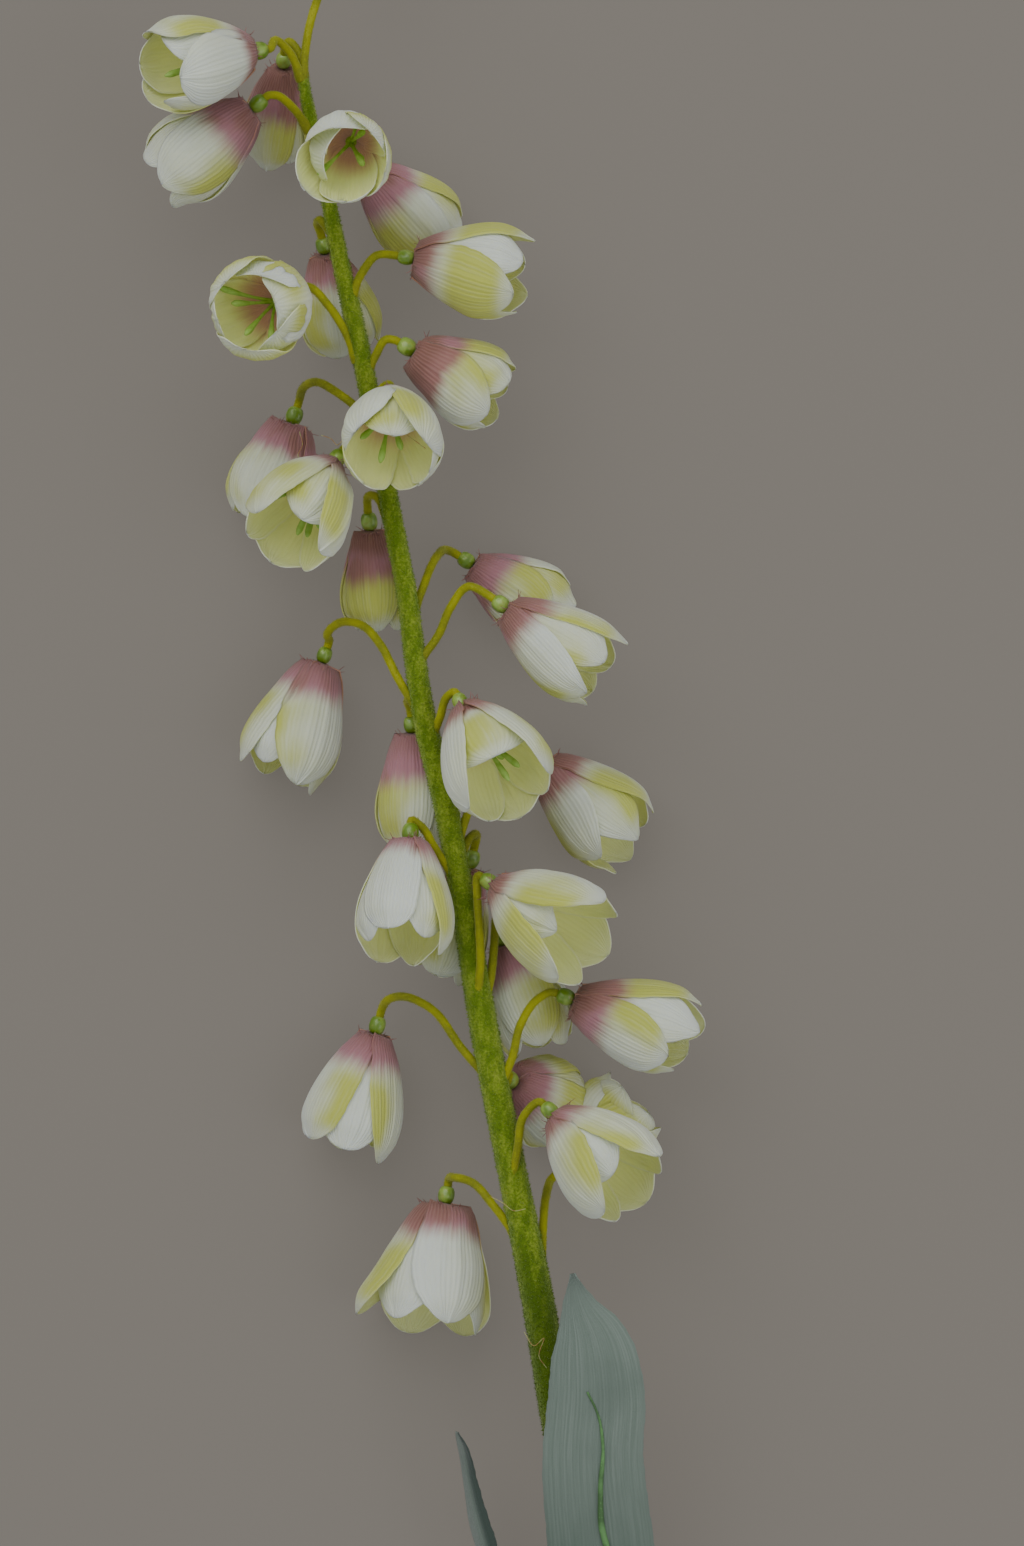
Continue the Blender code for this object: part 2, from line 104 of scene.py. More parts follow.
class Graph:                             # a tree of nodes, grown by Python expressions
    def __init__(self, tree):
        self.tree = tree

    def add(self, kind, settings=None, values=None, out=0):
        node = self.tree.nodes.new(kind)
        for name, value in (settings or {}).items():
            setattr(node, name, value)
        for key, value in (values or {}).items():
            if isinstance(value, Wire):
                self.tree.links.new(value.socket, node.inputs[key])
            else:
                node.inputs[key].default_value = value
        return Wire(self, node.outputs[out])

    def maths(self, operation, *values):
        return self.add("ShaderNodeMath", {"operation": operation}, dict(enumerate(values)))

    def smooth(self, value, low, high):
        return self.add("ShaderNodeMapRange", {"interpolation_type": "SMOOTHSTEP"},
                        {"Value": value, "From Min": low, "From Max": high})

    def wave(self, value, turns):
        return self.maths("COSINE", value * (turns * math.tau)) * 0.5 + 0.5

    def join(self, x, y, z):
        return self.add("ShaderNodeCombineXYZ", None, {"X": x, "Y": y, "Z": z})

    def noise(self, place, scale, detail=2.0, rough=0.5):
        return self.add("ShaderNodeTexNoise", None,
                        {"Vector": place, "Scale": scale, "Detail": detail, "Roughness": rough})

    def blend(self, share, first, second):
        pair = [c if isinstance(c, Wire) else (*c, 1.0) for c in (first, second)]
        return self.add("ShaderNodeMix", {"data_type": "RGBA"}, {0: share, 6: pair[0], 7: pair[1]}, out=2)

    def mottled(self, patch, spread, first, second):     # two colours in soft patches
        return self.blend(self.smooth(patch, 0.5 - spread, 0.5 + spread), first, second)

    def tinged(self, colour, where, low, high, share, other):    # towards another colour as a value rises
        return self.blend(self.smooth(where, low, high) * share, colour, other)


class Finish(Graph):                     # a material: what is the same all over is set on its shader
    def __init__(self, name, constants):
        self.material = bpy.data.materials.new(name)
        self.material.use_nodes = True
        super().__init__(self.material.node_tree)
        self.shader = self.tree.nodes["Principled BSDF"]
        for socket, value in constants.items():
            self.shader.inputs[socket].default_value = value

    def number(self, attribute):
        return self.add("ShaderNodeAttribute", {"attribute_name": attribute}, out=2)

    def place(self):
        return self.add("ShaderNodeTexCoord", out=3)

    def bump(self, height, distance, strength=1.0):
        return self.add("ShaderNodeBump", None,
                        {"Height": height, "Distance": distance * mm, "Strength": strength})

    def feed(self, **wires):
        names = {"colour": "Base Color", "rough": "Roughness", "normal": "Normal", "glow": "Emission Color"}
        for name, wire in wires.items():
            self.tree.links.new(wire.socket, self.shader.inputs[names[name]])
        return self.material


def makeStage():
    half = view["floor"] / 2 * mm
    sheet = bpy.data.meshes.new("floor")
    corners = [(-half, -half, 0), (half, -half, 0), (half, half, 0), (-half, half, 0)]
    sheet.from_pydata(corners, [], [(0, 1, 2, 3)])
    floor = bpy.data.objects.new("floor", sheet)
    pale = view["floorColour"]
    lift = (*(c / pale[0] for c in pale), 1.0)
    finish = Finish("paleFloor", {"Roughness": 0.9, "Specular IOR Level": 0.2, "Emission Color": lift,
                                  "Emission Strength": view["floorLift"]})
    grain = finish.noise(finish.place(), 900.0, 3.0)
    darker = tuple(c * 0.96 for c in pale)
    floor.data.materials.append(finish.feed(colour=finish.blend(grain, darker, pale)))
    bpy.context.scene.collection.objects.link(floor)


def makeLight(name, source, size, power):
    lamp = bpy.data.lights.new(name, "AREA")
    lamp.size = size * mm
    lamp.energy = power
    light = bpy.data.objects.new(name, lamp)
    light.location = Vector(source) * mm
    light.rotation_euler = (-light.location).to_track_quat("-Z", "Y").to_euler()
    bpy.context.scene.collection.objects.link(light)


def makeCamera():
    lens = bpy.data.cameras.new("camera")
    lens.sensor_width = view["sensor"]
    lens.lens = view["sensor"] * view["distance"] / view["frameTall"]
    camera = bpy.data.objects.new("camera", lens)
    camera.location = (placed(view["aim"]) + Vector((0, 0, view["distance"]))) * mm
    bpy.context.scene.collection.objects.link(camera)
    bpy.context.scene.camera = camera
    air = bpy.data.worlds.new("air")
    air.use_nodes = True
    air.node_tree.nodes["Background"].inputs["Color"].default_value = (*view["air"], 1.0)
    air.node_tree.nodes["Background"].inputs["Strength"].default_value = view["airStrength"]
    bpy.context.scene.world = air


makeStage()
makeLight("keyLight", view["keyFrom"], view["keySize"], view["keyPower"])
makeLight("fillLight", view["fillFrom"], view["fillSize"], view["fillPower"])
makeCamera()
print("stage, lights and camera made")


# The stalk's centre line from the cut end to the tip, with its radius
stalkLine = (
    (49, -418, 5.55, 5.6), (42.5, -376, 11.5, 5.5), (35.5, -336, 18, 5.4),
    (28.5, -297, 26, 5.3), (22.5, -258, 33, 5.3), (15.5, -218, 38.5, 5.3),
    (8.5, -175, 41.8, 5.3), (1.5, -140, 42, 4.8), (-9.5, -84, 42, 4.6),
    (-17.5, -36, 42, 3.9), (-23, -7, 42, 3.9), (-29, 17, 42, 3.8),
    (-35.5, 62, 42, 3.3), (-40.5, 88, 42, 3.2), (-49.5, 136, 42, 3.2),
    (-58.5, 177, 42, 2.7), (-64.5, 208, 42, 2.1), (-68, 222, 42, 2),
    (-70, 233, 42, 1.8),
)

# Each bell, much as the CAD has it: its neck, the way it points in the plane of the spray and above it, the
# turn of its first outer petal, its length, its radius at the belly and the mouth, and the points of its
# pedicel from the stalk.
Bell = namedtuple("Bell", "node neck heading tilt roll length belly mouth route")
bells = [
    Bell("bell_01", (-86.5, 239, 58), 193, 30, 335, 35, 16, 14,
         ((-70, 231, 42), (-74.5, 240.5, 46), (-79, 243.5, 51))),
    Bell("bell_02", (-76.5, 236, 33), 264, -38, 20, 34, 12.5, 9.5,
         ((-69.5, 232, 41), (-71.5, 241, 40.5), (-74.5, 244, 39.5))),
    Bell("bell_03", (-86.5, 221, 48), 218, -8, 350, 37, 15.5, 12.5,
         ((-67.5, 214, 42), (-73, 221.5, 45.5), (-79, 225.5, 48.5))),
    Bell("bell_04", (-53, 210.5, 52), 250, 74, 30, 35, 14.4, 15.2,
         ((-65.5, 208, 42), (-60, 212, 43))),
    Bell("bell_05", (-48, 201, 26), 317, -22, 20, 34, 15, 12,
         ((-63, 198, 41), (-58.5, 205, 39.5), (-53.5, 208, 34))),
    Bell("bell_06", (-32.5, 171, 48), 349, 8, 30, 36, 16, 13,
         ((-54, 157, 42), (-50, 166.5, 44), (-44.5, 172.5, 46))),
    Bell("bell_07", (-77.5, 157, 52), 215, 76, 340, 35, 17, 16,
         ((-51.5, 137, 42), (-55.8, 147.5, 43), (-61, 155.5, 43.5), (-68, 162, 44))),
    Bell("bell_08", (-62.5, 174, 28), 283, -20, 20, 34, 13.5, 11,
         ((-59.5, 180, 41), (-64, 184.5, 38.5), (-65, 183, 33))),
    Bell("bell_09", (-32.5, 140.5, 44), 330, 0, 20, 33, 15, 12.5,
         ((-49, 131, 42), (-45.5, 139, 43), (-41.5, 144.5, 44))),
    Bell("bell_10", (-40.5, 124.5, 54), 272, 50, 60, 33, 17, 16,
         ((-47, 120, 42), (-44, 127.5, 44.5))),
    Bell("bell_11", (-74, 117.5, 16.4), 252, 0, 20, 33, 15.5, 13,
         ((-47, 118, 42), (-58.5, 127, 40), (-64.5, 130.5, 35), (-70, 129, 25))),
    Bell("bell_12", (-59.5, 102.5, 51), 238, 35, 60, 36, 17, 16,
         ((-45, 111, 42), (-49.5, 112, 45.5))),
    Bell("bell_13", (-47.5, 81.5, 27), 277, -12, 10, 33, 13, 10.5,
         ((-41.5, 86, 41), (-45, 92, 38), (-48, 92.5, 33))),
    Bell("bell_14", (-13, 70, 14.57), 328, 0, 10, 34, 14, 11.5,
         ((-33.5, 52, 41), (-30.2, 60.5, 38.5), (-27.5, 68, 33), (-24.5, 73.5, 25),
          (-22, 75, 18))),
    Bell("bell_15", (-1.5, 54.5, 50), 324, 5, 35, 38, 15, 13.5,
         ((-32, 36, 42), (-24.5, 46, 43.5), (-20.5, 55, 45.5), (-14.5, 62, 48))),
    Bell("bell_16", (-64, 37, 17.27), 250, 0, 331, 41, 16.5, 15,
         ((-30, 18, 42), (-38.5, 32.5, 42), (-44, 43, 40.5), (-49.5, 49, 37),
          (-57, 50.5, 30.5), (-62, 46.5, 22.5))),
    Bell("bell_17", (-33.5, 13.5, 26), 274, -8, 20, 37, 14, 12,
         ((-29.5, 20, 40), (-33.5, 24.5, 36), (-35, 24, 31))),
    Bell("bell_18", (-16, 21.5, 52), 299, 30, 60, 37, 18, 17,
         ((-27.5, 10, 42), (-24, 18.5, 44.5), (-21.5, 25.5, 46.5))),
    Bell("bell_19", (11, 3, 16.64), 317, 0, 45, 39, 16.5, 14,
         ((-19, -28, 42), (-15, -14, 40.5), (-9.5, -1, 36), (-3, 6.5, 28),
          (2.5, 9, 21))),
    Bell("bell_20", (-34, -22.5, 50), 266, 20, 20, 38, 16.5, 15,
         ((-18.5, -36, 42), (-26, -24.5, 44.5), (-30.5, -17.5, 46.5))),
    Bell("bell_21", (-14.5, -31.5, 25), 254, -6, 0, 36, 13, 10.5,
         ((-17.5, -27, 40), (-14, -21.5, 37), (-12, -20.5, 31.5))),
    Bell("bell_22", (-5.5, -37.5, 52), 328, 26, 60, 39, 17.5, 18,
         ((-11.5, -74, 44), (-10.5, -63, 47.5), (-11, -50, 48.5), (-11.5, -41, 48.5))),
    Bell("bell_23", (-2.5, -57.5, 25), 290, -5, 0, 35, 14.5, 12,
         ((-10, -80, 41), (-7, -68, 41.5), (-6, -58, 39.5), (-5.5, -50.5, 34))),
    Bell("bell_24", (20.5, -75.5, 44), 340, 2, 33, 42, 16, 13.5,
         ((-5, -107, 42), (0, -95, 43.5), (3, -83.5, 44.5), (9, -75, 45))),
    Bell("bell_25", (-46, -87.5, 16.7), 255, 0, 298, 40, 16.5, 15.5,
         ((-6, -104, 42), (-17, -91.5, 41), (-26, -79.5, 37), (-35, -75, 31),
          (-41.5, -76, 23.5))),
    Bell("bell_26", (0.5, -103.5, 31.5), 325, -52, 0, 30, 16, 12,
         ((-4, -106, 40.5), (-1, -100.5, 39))),
    Bell("bell_27", (14.5, -114, 52), 317, 22, 60, 37, 17.5, 16,
         ((-0.5, -140, 44), (2, -124, 47), (4, -114, 48))),
    Bell("bell_28", (19, -131, 15.5), 44, 0, 30, 27, 14.5, 14,
         ((9, -173, 41), (10, -160, 40), (10.6, -148, 34), (11.8, -140, 24))),
    Bell("bell_29", (-22.5, -144.5, 19.75), 261, 4, 340, 43, 20, 24,
         ((2.5, -156, 42), (-6, -144.5, 40), (-13, -137, 34.5), (-19, -135.5, 28))),
    Bell("bud_tip", (-44, 285, 42), 310, -5, 0, 18, 7, 2.6,
         ((-70, 231, 42), (-67.5, 249, 42), (-62, 266, 42.5), (-57, 281, 43),
          (-51, 289, 43))),
]


def bellFrame(bell):                     # the neck, the way the bell points, its upper side and its flank
    heading, tilt = math.radians(bell.heading), math.radians(bell.tilt)
    axis = Vector((math.cos(tilt) * math.cos(heading), math.cos(tilt) * math.sin(heading), math.sin(tilt)))
    upper = (Vector((0, 0, 1)) - axis * axis.z).normalized()
    return placed(bell.neck), axis, upper, axis.cross(upper)


def spoke(upper, side, turn):            # the way out at a turn round a bell's axis, and the way beside it
    return upper * math.cos(turn) + side * math.sin(turn), side * math.cos(turn) - upper * math.sin(turn)


def varied(draw, amount):
    return draw.uniform(-1, 1) * amount


def smoothStep(x, low, high):
    t = np.clip((x - low) / (high - low), 0.0, 1.0)
    return t * t * (3 - 2 * t)


def through(x, knots, values):           # a smooth curve through values, or rows of values, at the knots
    knots = np.array(knots, float)
    values = np.array(values, float)
    slopes = np.gradient(values, knots, axis=0)
    i = np.clip(np.searchsorted(knots, x, side="right") - 1, 0, len(knots) - 2)
    width = knots[i + 1] - knots[i]
    t = (x - knots[i]) / width
    if values.ndim > 1:
        t, width = t[..., None], width[..., None]
    low, high = values[i], values[i + 1]
    rise, fall = slopes[i] * width, slopes[i + 1] * width
    return ((2 * t**3 - 3 * t**2 + 1) * low + (t**3 - 2 * t**2 + t) * rise
            + (3 * t**2 - 2 * t**3) * high + (t**3 - t**2) * fall)


def lineThrough(points, step):           # evenly spaced points, about a step apart, on a smooth curve
    points = np.array(points, float)
    lengths = np.linalg.norm(np.diff(points[:, :3], axis=0), axis=1)
    knots = np.concatenate([[0.0], np.cumsum(lengths)])
    return through(np.linspace(0, knots[-1], max(4, int(knots[-1] / step) + 1)), knots, points)


def linked(name, mesh):
    made = bpy.data.objects.new(name, mesh)
    bpy.context.scene.collection.objects.link(made)
    return made


def closedSheet(front, back, start):     # faces of two skins of rows and columns, joined round their rim
    rows, columns = front.shape[:2]
    number = np.arange(rows * columns).reshape(rows, columns) + start
    other = number + rows * columns
    a, b, c, d = number[:-1, :-1], number[:-1, 1:], number[1:, 1:], number[1:, :-1]
    faces = [np.stack([q.ravel() for q in (a, b, c, d)], 1)]
    faces.append(np.stack([q.ravel() + rows * columns for q in (d, c, b, a)], 1))
    for edge, far in ((number[0], other[0]), (number[:, -1], other[:, -1]),
                      (number[-1, ::-1], other[-1, ::-1]), (number[::-1, 0], other[::-1, 0])):
        faces.append(np.stack([edge[1:], edge[:-1], far[:-1], far[1:]], 1))
    points = np.concatenate([front.reshape(-1, 3), back.reshape(-1, 3)])
    return points, np.concatenate(faces)


def clothMesh(name, points, faces, numbers):
    mesh = bpy.data.meshes.new(name)
    mesh.from_pydata((points * mm).tolist(), [], faces.tolist())
    for key, values in numbers.items():
        mesh.attributes.new(key, "FLOAT", "POINT").data.foreach_set("value", values.astype(np.float32))
    shape = bmesh.new()
    shape.from_mesh(mesh)
    bmesh.ops.recalc_face_normals(shape, faces=shape.faces)
    shape.to_mesh(mesh)
    shape.free()
    mesh.shade_smooth()
    return mesh


def skinNumbers(along, across):          # the places on both skins of a sheet, and which skin is the back
    return {"along": np.tile(along.ravel(), 2), "across": np.tile(across.ravel(), 2),
            "inside": np.repeat([0.0, 1.0], along.size)}


def skins(middleSkin, outward, thickness):   # both skins of a sheet, along its own normals
    along = np.gradient(middleSkin, axis=0)
    across = np.gradient(middleSkin, axis=1)
    normal = np.cross(along, across)
    normal /= np.maximum(np.linalg.norm(normal, axis=2, keepdims=True), 1e-9)
    normal *= np.sign((normal * outward).sum(axis=2, keepdims=True))
    normal[-1] = normal[-2]
    return middleSkin + normal * thickness / 2, middleSkin - normal * thickness / 2, normal


# Petals: three outer and three inner in each bell, each a spoon of pressed cloth with its own wave
petal = {
    "seed": 900,                         # the first bell's; each later bell has the next
    "count": 6,
    "columns": 28,
    "rows": 27,
    "cloth": 0.35,
    "layer": 0.40,                       # the outer petals stand this far out, the inner ones this far in
    "overlap": 0.22,                     # one margin lies over its neighbour, the other under
    "halfWidth": 0.82,                   # as a share of the belly's radius
    "innerWidth": 0.94,                  # of an inner petal, as a share of an outer one's
    "innerDrop": 1.2,                    # how far an inner petal's root lies below an outer one's
    "rootRadius": 1.0,
    "collar": 0.37,                      # radius of the flat top, as a share of the belly's
    "collarVaries": 0.03,
    "spoon": 0.13,                       # how far the tips turn in, as a share of the belly's radius
    "taperFrom": 0.38,                   # along a petal, where its margins begin to close to the tip
    "bluntness": (2.8, 5.5),             # of the usual tips, the higher the blunter
    "turnVaries": 2.5,
    "lengthVaries": 0.05,
    "widthVaries": 0.05,
    "tipVaries": 1.3,
    "waves": (0.9, 2.2),                 # along a margin
    "waveDepth": 0.5,
    "creases": 2,                        # long ones, pressed into the cloth
    "creaseDepth": 0.5,
    "creaseWidth": 0.10,
    "ripple": 0.10,
    "lean": 0.07,                        # how unlike its two margins may be
    "corner": 1.0,                       # how far the base corners stand up at the shoulder
    "tipPoint": 0.03,                    # length of the small point at the tip, as a share of the petal
    "fray": 0.012,                       # of the margin, as a share of the petal's half width
    "bentFray": 0.005,                   # more of it for each millimetre that the tip is bent in
    "frayTurns": (61, 23),               # two waves that make it uneven
}
profileKnots = (0.0, 0.04, 0.09, 0.18, 0.30, 0.45, 0.60, 0.74, 0.88, 1.0)
widthKnots = (0.0, 0.04, 0.09, 0.18, 0.30, 0.45, 0.6, 1.0)
widthShares = (0.52, 0.64, 0.68, 0.76, 0.88, 0.98, 1.0, 1.0)
bowKnots = (0, 0.1, 0.3, 0.6, 1.0)
bowShares = (1.0, 1.0, 0.98, 0.94, 0.86)  # how tightly a petal is bent across, against the bell itself
widestAngle = 1.22                       # a petal wraps no further than this to either side

# Petals that stand apart from the rest: their turn, then length and width as shares of the usual, how far
# the tip is bent out, or in over the mouth if negative, and how bluntly they end. The tone sets which
# margin is yellow-green, the tint how much of the petal.
Trait = namedtuple("Trait", "turn longer wider bend blunt tone tint", defaults=(0, 1, 1, 0, 3.2, None, None))
traits = {
    "bell_01": {0: Trait(0, 0.94, 1.05, 0, 4, 0.3, -0.5), 1: Trait(2, 1, 1.05, -2, 5, 0.3, -0.4),
                2: Trait(-8, 1.02, 1.1, 0, 6), 3: Trait(wider=1.1, blunt=6), 4: Trait(bend=1, blunt=6)},
    "bell_03": {0: Trait(0, 0.98, 1.1, 0, 3.2, -0.7, 0.25), 5: Trait(0, 1.06, 1, 0, 6, 0.3, 0),
                1: Trait(0, 1, 1, 0, 6, 0.2, 0), 2: Trait(0, 1, 1, 0, 4, 0.5, 0.5)},
    "bell_04": {1: Trait(2, 1, 1.2, -8, 5, 0.4, -0.1), 0: Trait(0, 1, 1.15, -3.5, 5, 0.4, -0.5),
                5: Trait(0, 1, 1.05, 1.8, 7), 4: Trait(0, 1, 1.05, 1.5, 7), 3: Trait(0, 1, 1.05, 1.5, 7),
                2: Trait(0, 1, 1.05, 1, 7)},
    "bell_05": {0: Trait(0, 1, 1.05, 0, 3.2, 0.9, 0.4), 5: Trait(0, 1, 1, 0, 5, -0.6, 0.1),
                4: Trait(0, 0.97, 1, 0, 3.2, 0.3, 0.8)},
    "bell_06": {0: Trait(4, 0.97, 1.1, 0, 3.2, 0.3, 1.1), 4: Trait(0, 1.03, 1, 1, 2.6, 0.3, 0.9),
                5: Trait(0, 1, 1, 0, 4, 0.3, -0.6), 1: Trait(0, 1, 1, 0, 2.6, 0.3, 0.8)},
    "bell_07": {0: Trait(-2, 1.02, 1.1, -6, 7, 0.6, 0.3), 1: Trait(6, 0.98, 1.05, -3, 5, 0.3, -0.5),
                5: Trait(0, 1, 1, -3, 5, 0.7, 0.5)},
    "bell_09": {0: Trait(8, 0.92, 1.1, 0, 3.2, -0.6, 0.1), 4: Trait(0, 0.92, 1, 0, 5, 0.6, 0.5),
                5: Trait(0, 0.96, 1.1, -0.5, 6, 0.5, 0.4)},
    "bell_10": {5: Trait(-6, 1, 1, -5, 3.2, 0.5, 0.5), 0: Trait(-4, 0.82, 1.1, -1, 6, 0.3, -0.1),
                4: Trait(0, 0.98, 1.1, 0, 4, 0.9, 0.3), 1: Trait(16, 1.02, 1, 0, 4),
                2: Trait(38, 0.96, 0.95, 0, 4), 3: Trait(turn=10, blunt=6)},
    "bell_11": {0: Trait(0, 1, 1.05, 0, 3.2, 0.3, 0.1), 1: Trait(tone=0.4, tint=0.6)},
    "bell_12": {5: Trait(-4, 0.92, 1, -3, 4, 0.7, 0.35), 4: Trait(0, 1.02, 0.95, 0, 3.2, 0.95, 0.35),
                2: Trait(blunt=4), 0: Trait(tone=0.3, tint=0.55), 1: Trait(blunt=4), 3: Trait()},
    "bell_13": {0: Trait(0, 0.96, 1, 0, 3.2, 0.3, 0.9)},
    "bell_14": {0: Trait(4, 0.90, 1.1, 0, 3.2, -0.4, 0.5), 4: Trait(0, 0.88, 1, 0, 3.2, 0.4, -0.2)},
    "bell_15": {0: Trait(4, 0.97, 0.98, 0, 2.6, 0.8, 0.1), 5: Trait(0, 0.95, 1, 0, 3.2, 0.5, 0),
                4: Trait(0, 1, 0.95, 1, 3.2, 0.7, 0.1)},
    "bell_16": {0: Trait(4, 0.96, 1.05, 0, 3.2, 0.6, 0), 1: Trait(0, 0.90, 1, -0.5, 3.2, -0.4, -0.4),
                2: Trait(-6, 0.94, 1.05, 0.5, 5, 0.9, 0.8), 5: Trait(14, 1.02, 1, -1, 3)},
    "bell_18": {5: Trait(-6, 0.78, 1.25, -3, 6, 0.5, 0.5), 0: Trait(4, 0.98, 1, 0, 3.2, -0.3, -0.2),
                4: Trait(-22, 1, 1, 0, 3.2, -0.6, 0.6), 2: Trait(blunt=4), 3: Trait(turn=-8)},
    "bell_19": {0: Trait(2, 0.86, 1, 0, 2.6, 0.8, 0.3), 4: Trait(-6, 0.92, 1, 0, 2.3, 0.7, 0.1),
                5: Trait(0, 1, 1, -1, 2.3, -0.9, 0.3), 1: Trait(longer=1.06, blunt=2.4),
                2: Trait(longer=1.06, blunt=2.6)},
    "bell_20": {0: Trait(-2, 0.90, 0.72, 0, 7, 0.3, -0.5), 5: Trait(longer=0.94, bend=-1),
                1: Trait(-16, 0.97, 1.05, 0, 3.2, 0.3, -0.3), 4: Trait(24, 1, 1.05, 0, 2.6, 0.95, 0.1),
                2: Trait(blunt=5), 3: Trait(longer=1.02, blunt=2.6)},
    "bell_22": {5: Trait(4, 0.84, 0.95, -5, 2.4, 0.3, 0.1), 0: Trait(0, 1, 1.05, 0, 4, -0.3, 0.5),
                4: Trait(tone=0.9, tint=0.1), 2: Trait(), 3: Trait(blunt=2.6)},
    "bell_24": {0: Trait(2, 0.82, 1.05, 0, 3.2, -0.9, 0), 5: Trait(0, 1, 1, -1, 2.6, 0.3, -0.6),
                4: Trait(0, 0.92, 0.9, 0, 2.6, 0.3, 0.6), 1: Trait(0, 0.92, 1, -1, 4),
                2: Trait(0, 0.96, 1, -1, 4)},
    "bell_25": {5: Trait(longer=0.92, bend=-2), 0: Trait(0, 1, 0.95, 0, 2.6, 0.95, 0.05),
                1: Trait(0, 0.96, 1.05, 0, 5, 0.3, -0.6), 2: Trait(0, 0.94, 1, 0.5, 5, -0.9, 0.05)},
    "bell_27": {5: Trait(6, 0.88, 1, -5, 4, 0.3, -0.6), 4: Trait(-4, 1, 0.95, 0, 3.2, 0.5, 0.2),
                0: Trait(-8, 1, 1.15, 0, 3.2, -0.9, 0), 2: Trait(blunt=4), 1: Trait(blunt=4), 3: Trait()},
    "bell_28": {k: Trait(0, 1.1, 1.25, 0.5, 5) for k in range(6)},
    "bell_29": {0: Trait(0, 0.90, 0.95, -2, 3.2, -0.6, -0.4), 1: Trait(0, 0.94, 1.05, -3.5, 3.2, 0.3, -0.5),
                5: Trait(0, 0.96, 1, -2.5, 2.6), 2: Trait(-4, 0.94, 1.1, 3, 7, -0.9, 0),
                4: Trait(0, 0.96, 1, 1, 4, 0.3, -0.3)},
}
usualTrait = Trait()
collars = {                              # a neck's width, where it is not the usual
    "bell_04": 0.32, "bell_07": 0.32, "bell_09": 0.41, "bell_10": 0.31, "bell_11": 0.47, "bell_12": 0.31,
    "bell_13": 0.42, "bell_16": 0.40, "bell_18": 0.32, "bell_22": 0.32, "bell_25": 0.34, "bell_27": 0.33,
    "bell_29": 0.43,
}


def halfWidths(trait, half, along, across, reach, draw):     # of one petal, from its root to its tip
    share = through(reach, widthKnots, widthShares)
    toTip = np.clip((along - petal["taperFrom"]) / (1 - petal["taperFrom"]), 0, 1)
    blunt = draw.uniform(*petal["bluntness"]) if trait is usualTrait else trait.blunt
    share = share * np.maximum(1 - toTip**blunt, 0.0004) ** (0.5 + 1.2 / blunt**2)
    lean = 1 + varied(draw, petal["lean"]) * np.sign(across) * np.sin(math.pi * along)
    ragged = petal["fray"] + petal["bentFray"] * max(0.0, -trait.bend)
    for turns in petal["frayTurns"]:
        ragged = ragged * np.sin(along * turns + draw.uniform(0, 6))
    return half * share * lean * (1 + ragged)


def clothMoves(inner, along, across, reach, draw):           # how far the cloth lies off the smooth spoon
    layer = -petal["layer"] - 0.1 if inner else petal["layer"]
    move = layer * smoothStep(along, 0.03, 0.2)
    move = move + petal["overlap"] * across * (1 - 0.85 * smoothStep(reach, 0.12, 0.3))
    for sign in (-1, 1):                 # each margin waves on its own, away from the other whorl
        margin = np.clip(sign * across, 0, 1) ** 2.2 * smoothStep(along, 0.3, 0.7)
        waves = draw.uniform(*petal["waves"])
        lift = 0.5 + 0.5 * np.sin(math.tau * waves * along + draw.uniform(0, math.tau))
        lift = lift * petal["waveDepth"] * draw.uniform(0.0, 1.4)
        move = move + margin * lift * (-1 if inner else 1)
    for fold in range(petal["creases"]):
        where = draw.uniform(-0.6, 0.6) * (0.4 + 0.6 * along)
        pressed = petal["creaseDepth"] * draw.uniform(-0.2, 1.0) * (1 if inner else -1)
        crease = np.exp(-((across - where) / petal["creaseWidth"]) ** 2)
        move = move - pressed * crease * smoothStep(along, 0.1, 0.35)
    ripples = petal["ripple"] * np.cos(math.pi * across * draw.uniform(4.5, 6.5) + draw.uniform(0, 6))
    return move + ripples * smoothStep(along, 0.05, 0.3) * (1 - smoothStep(along, 0.8, 1.0))


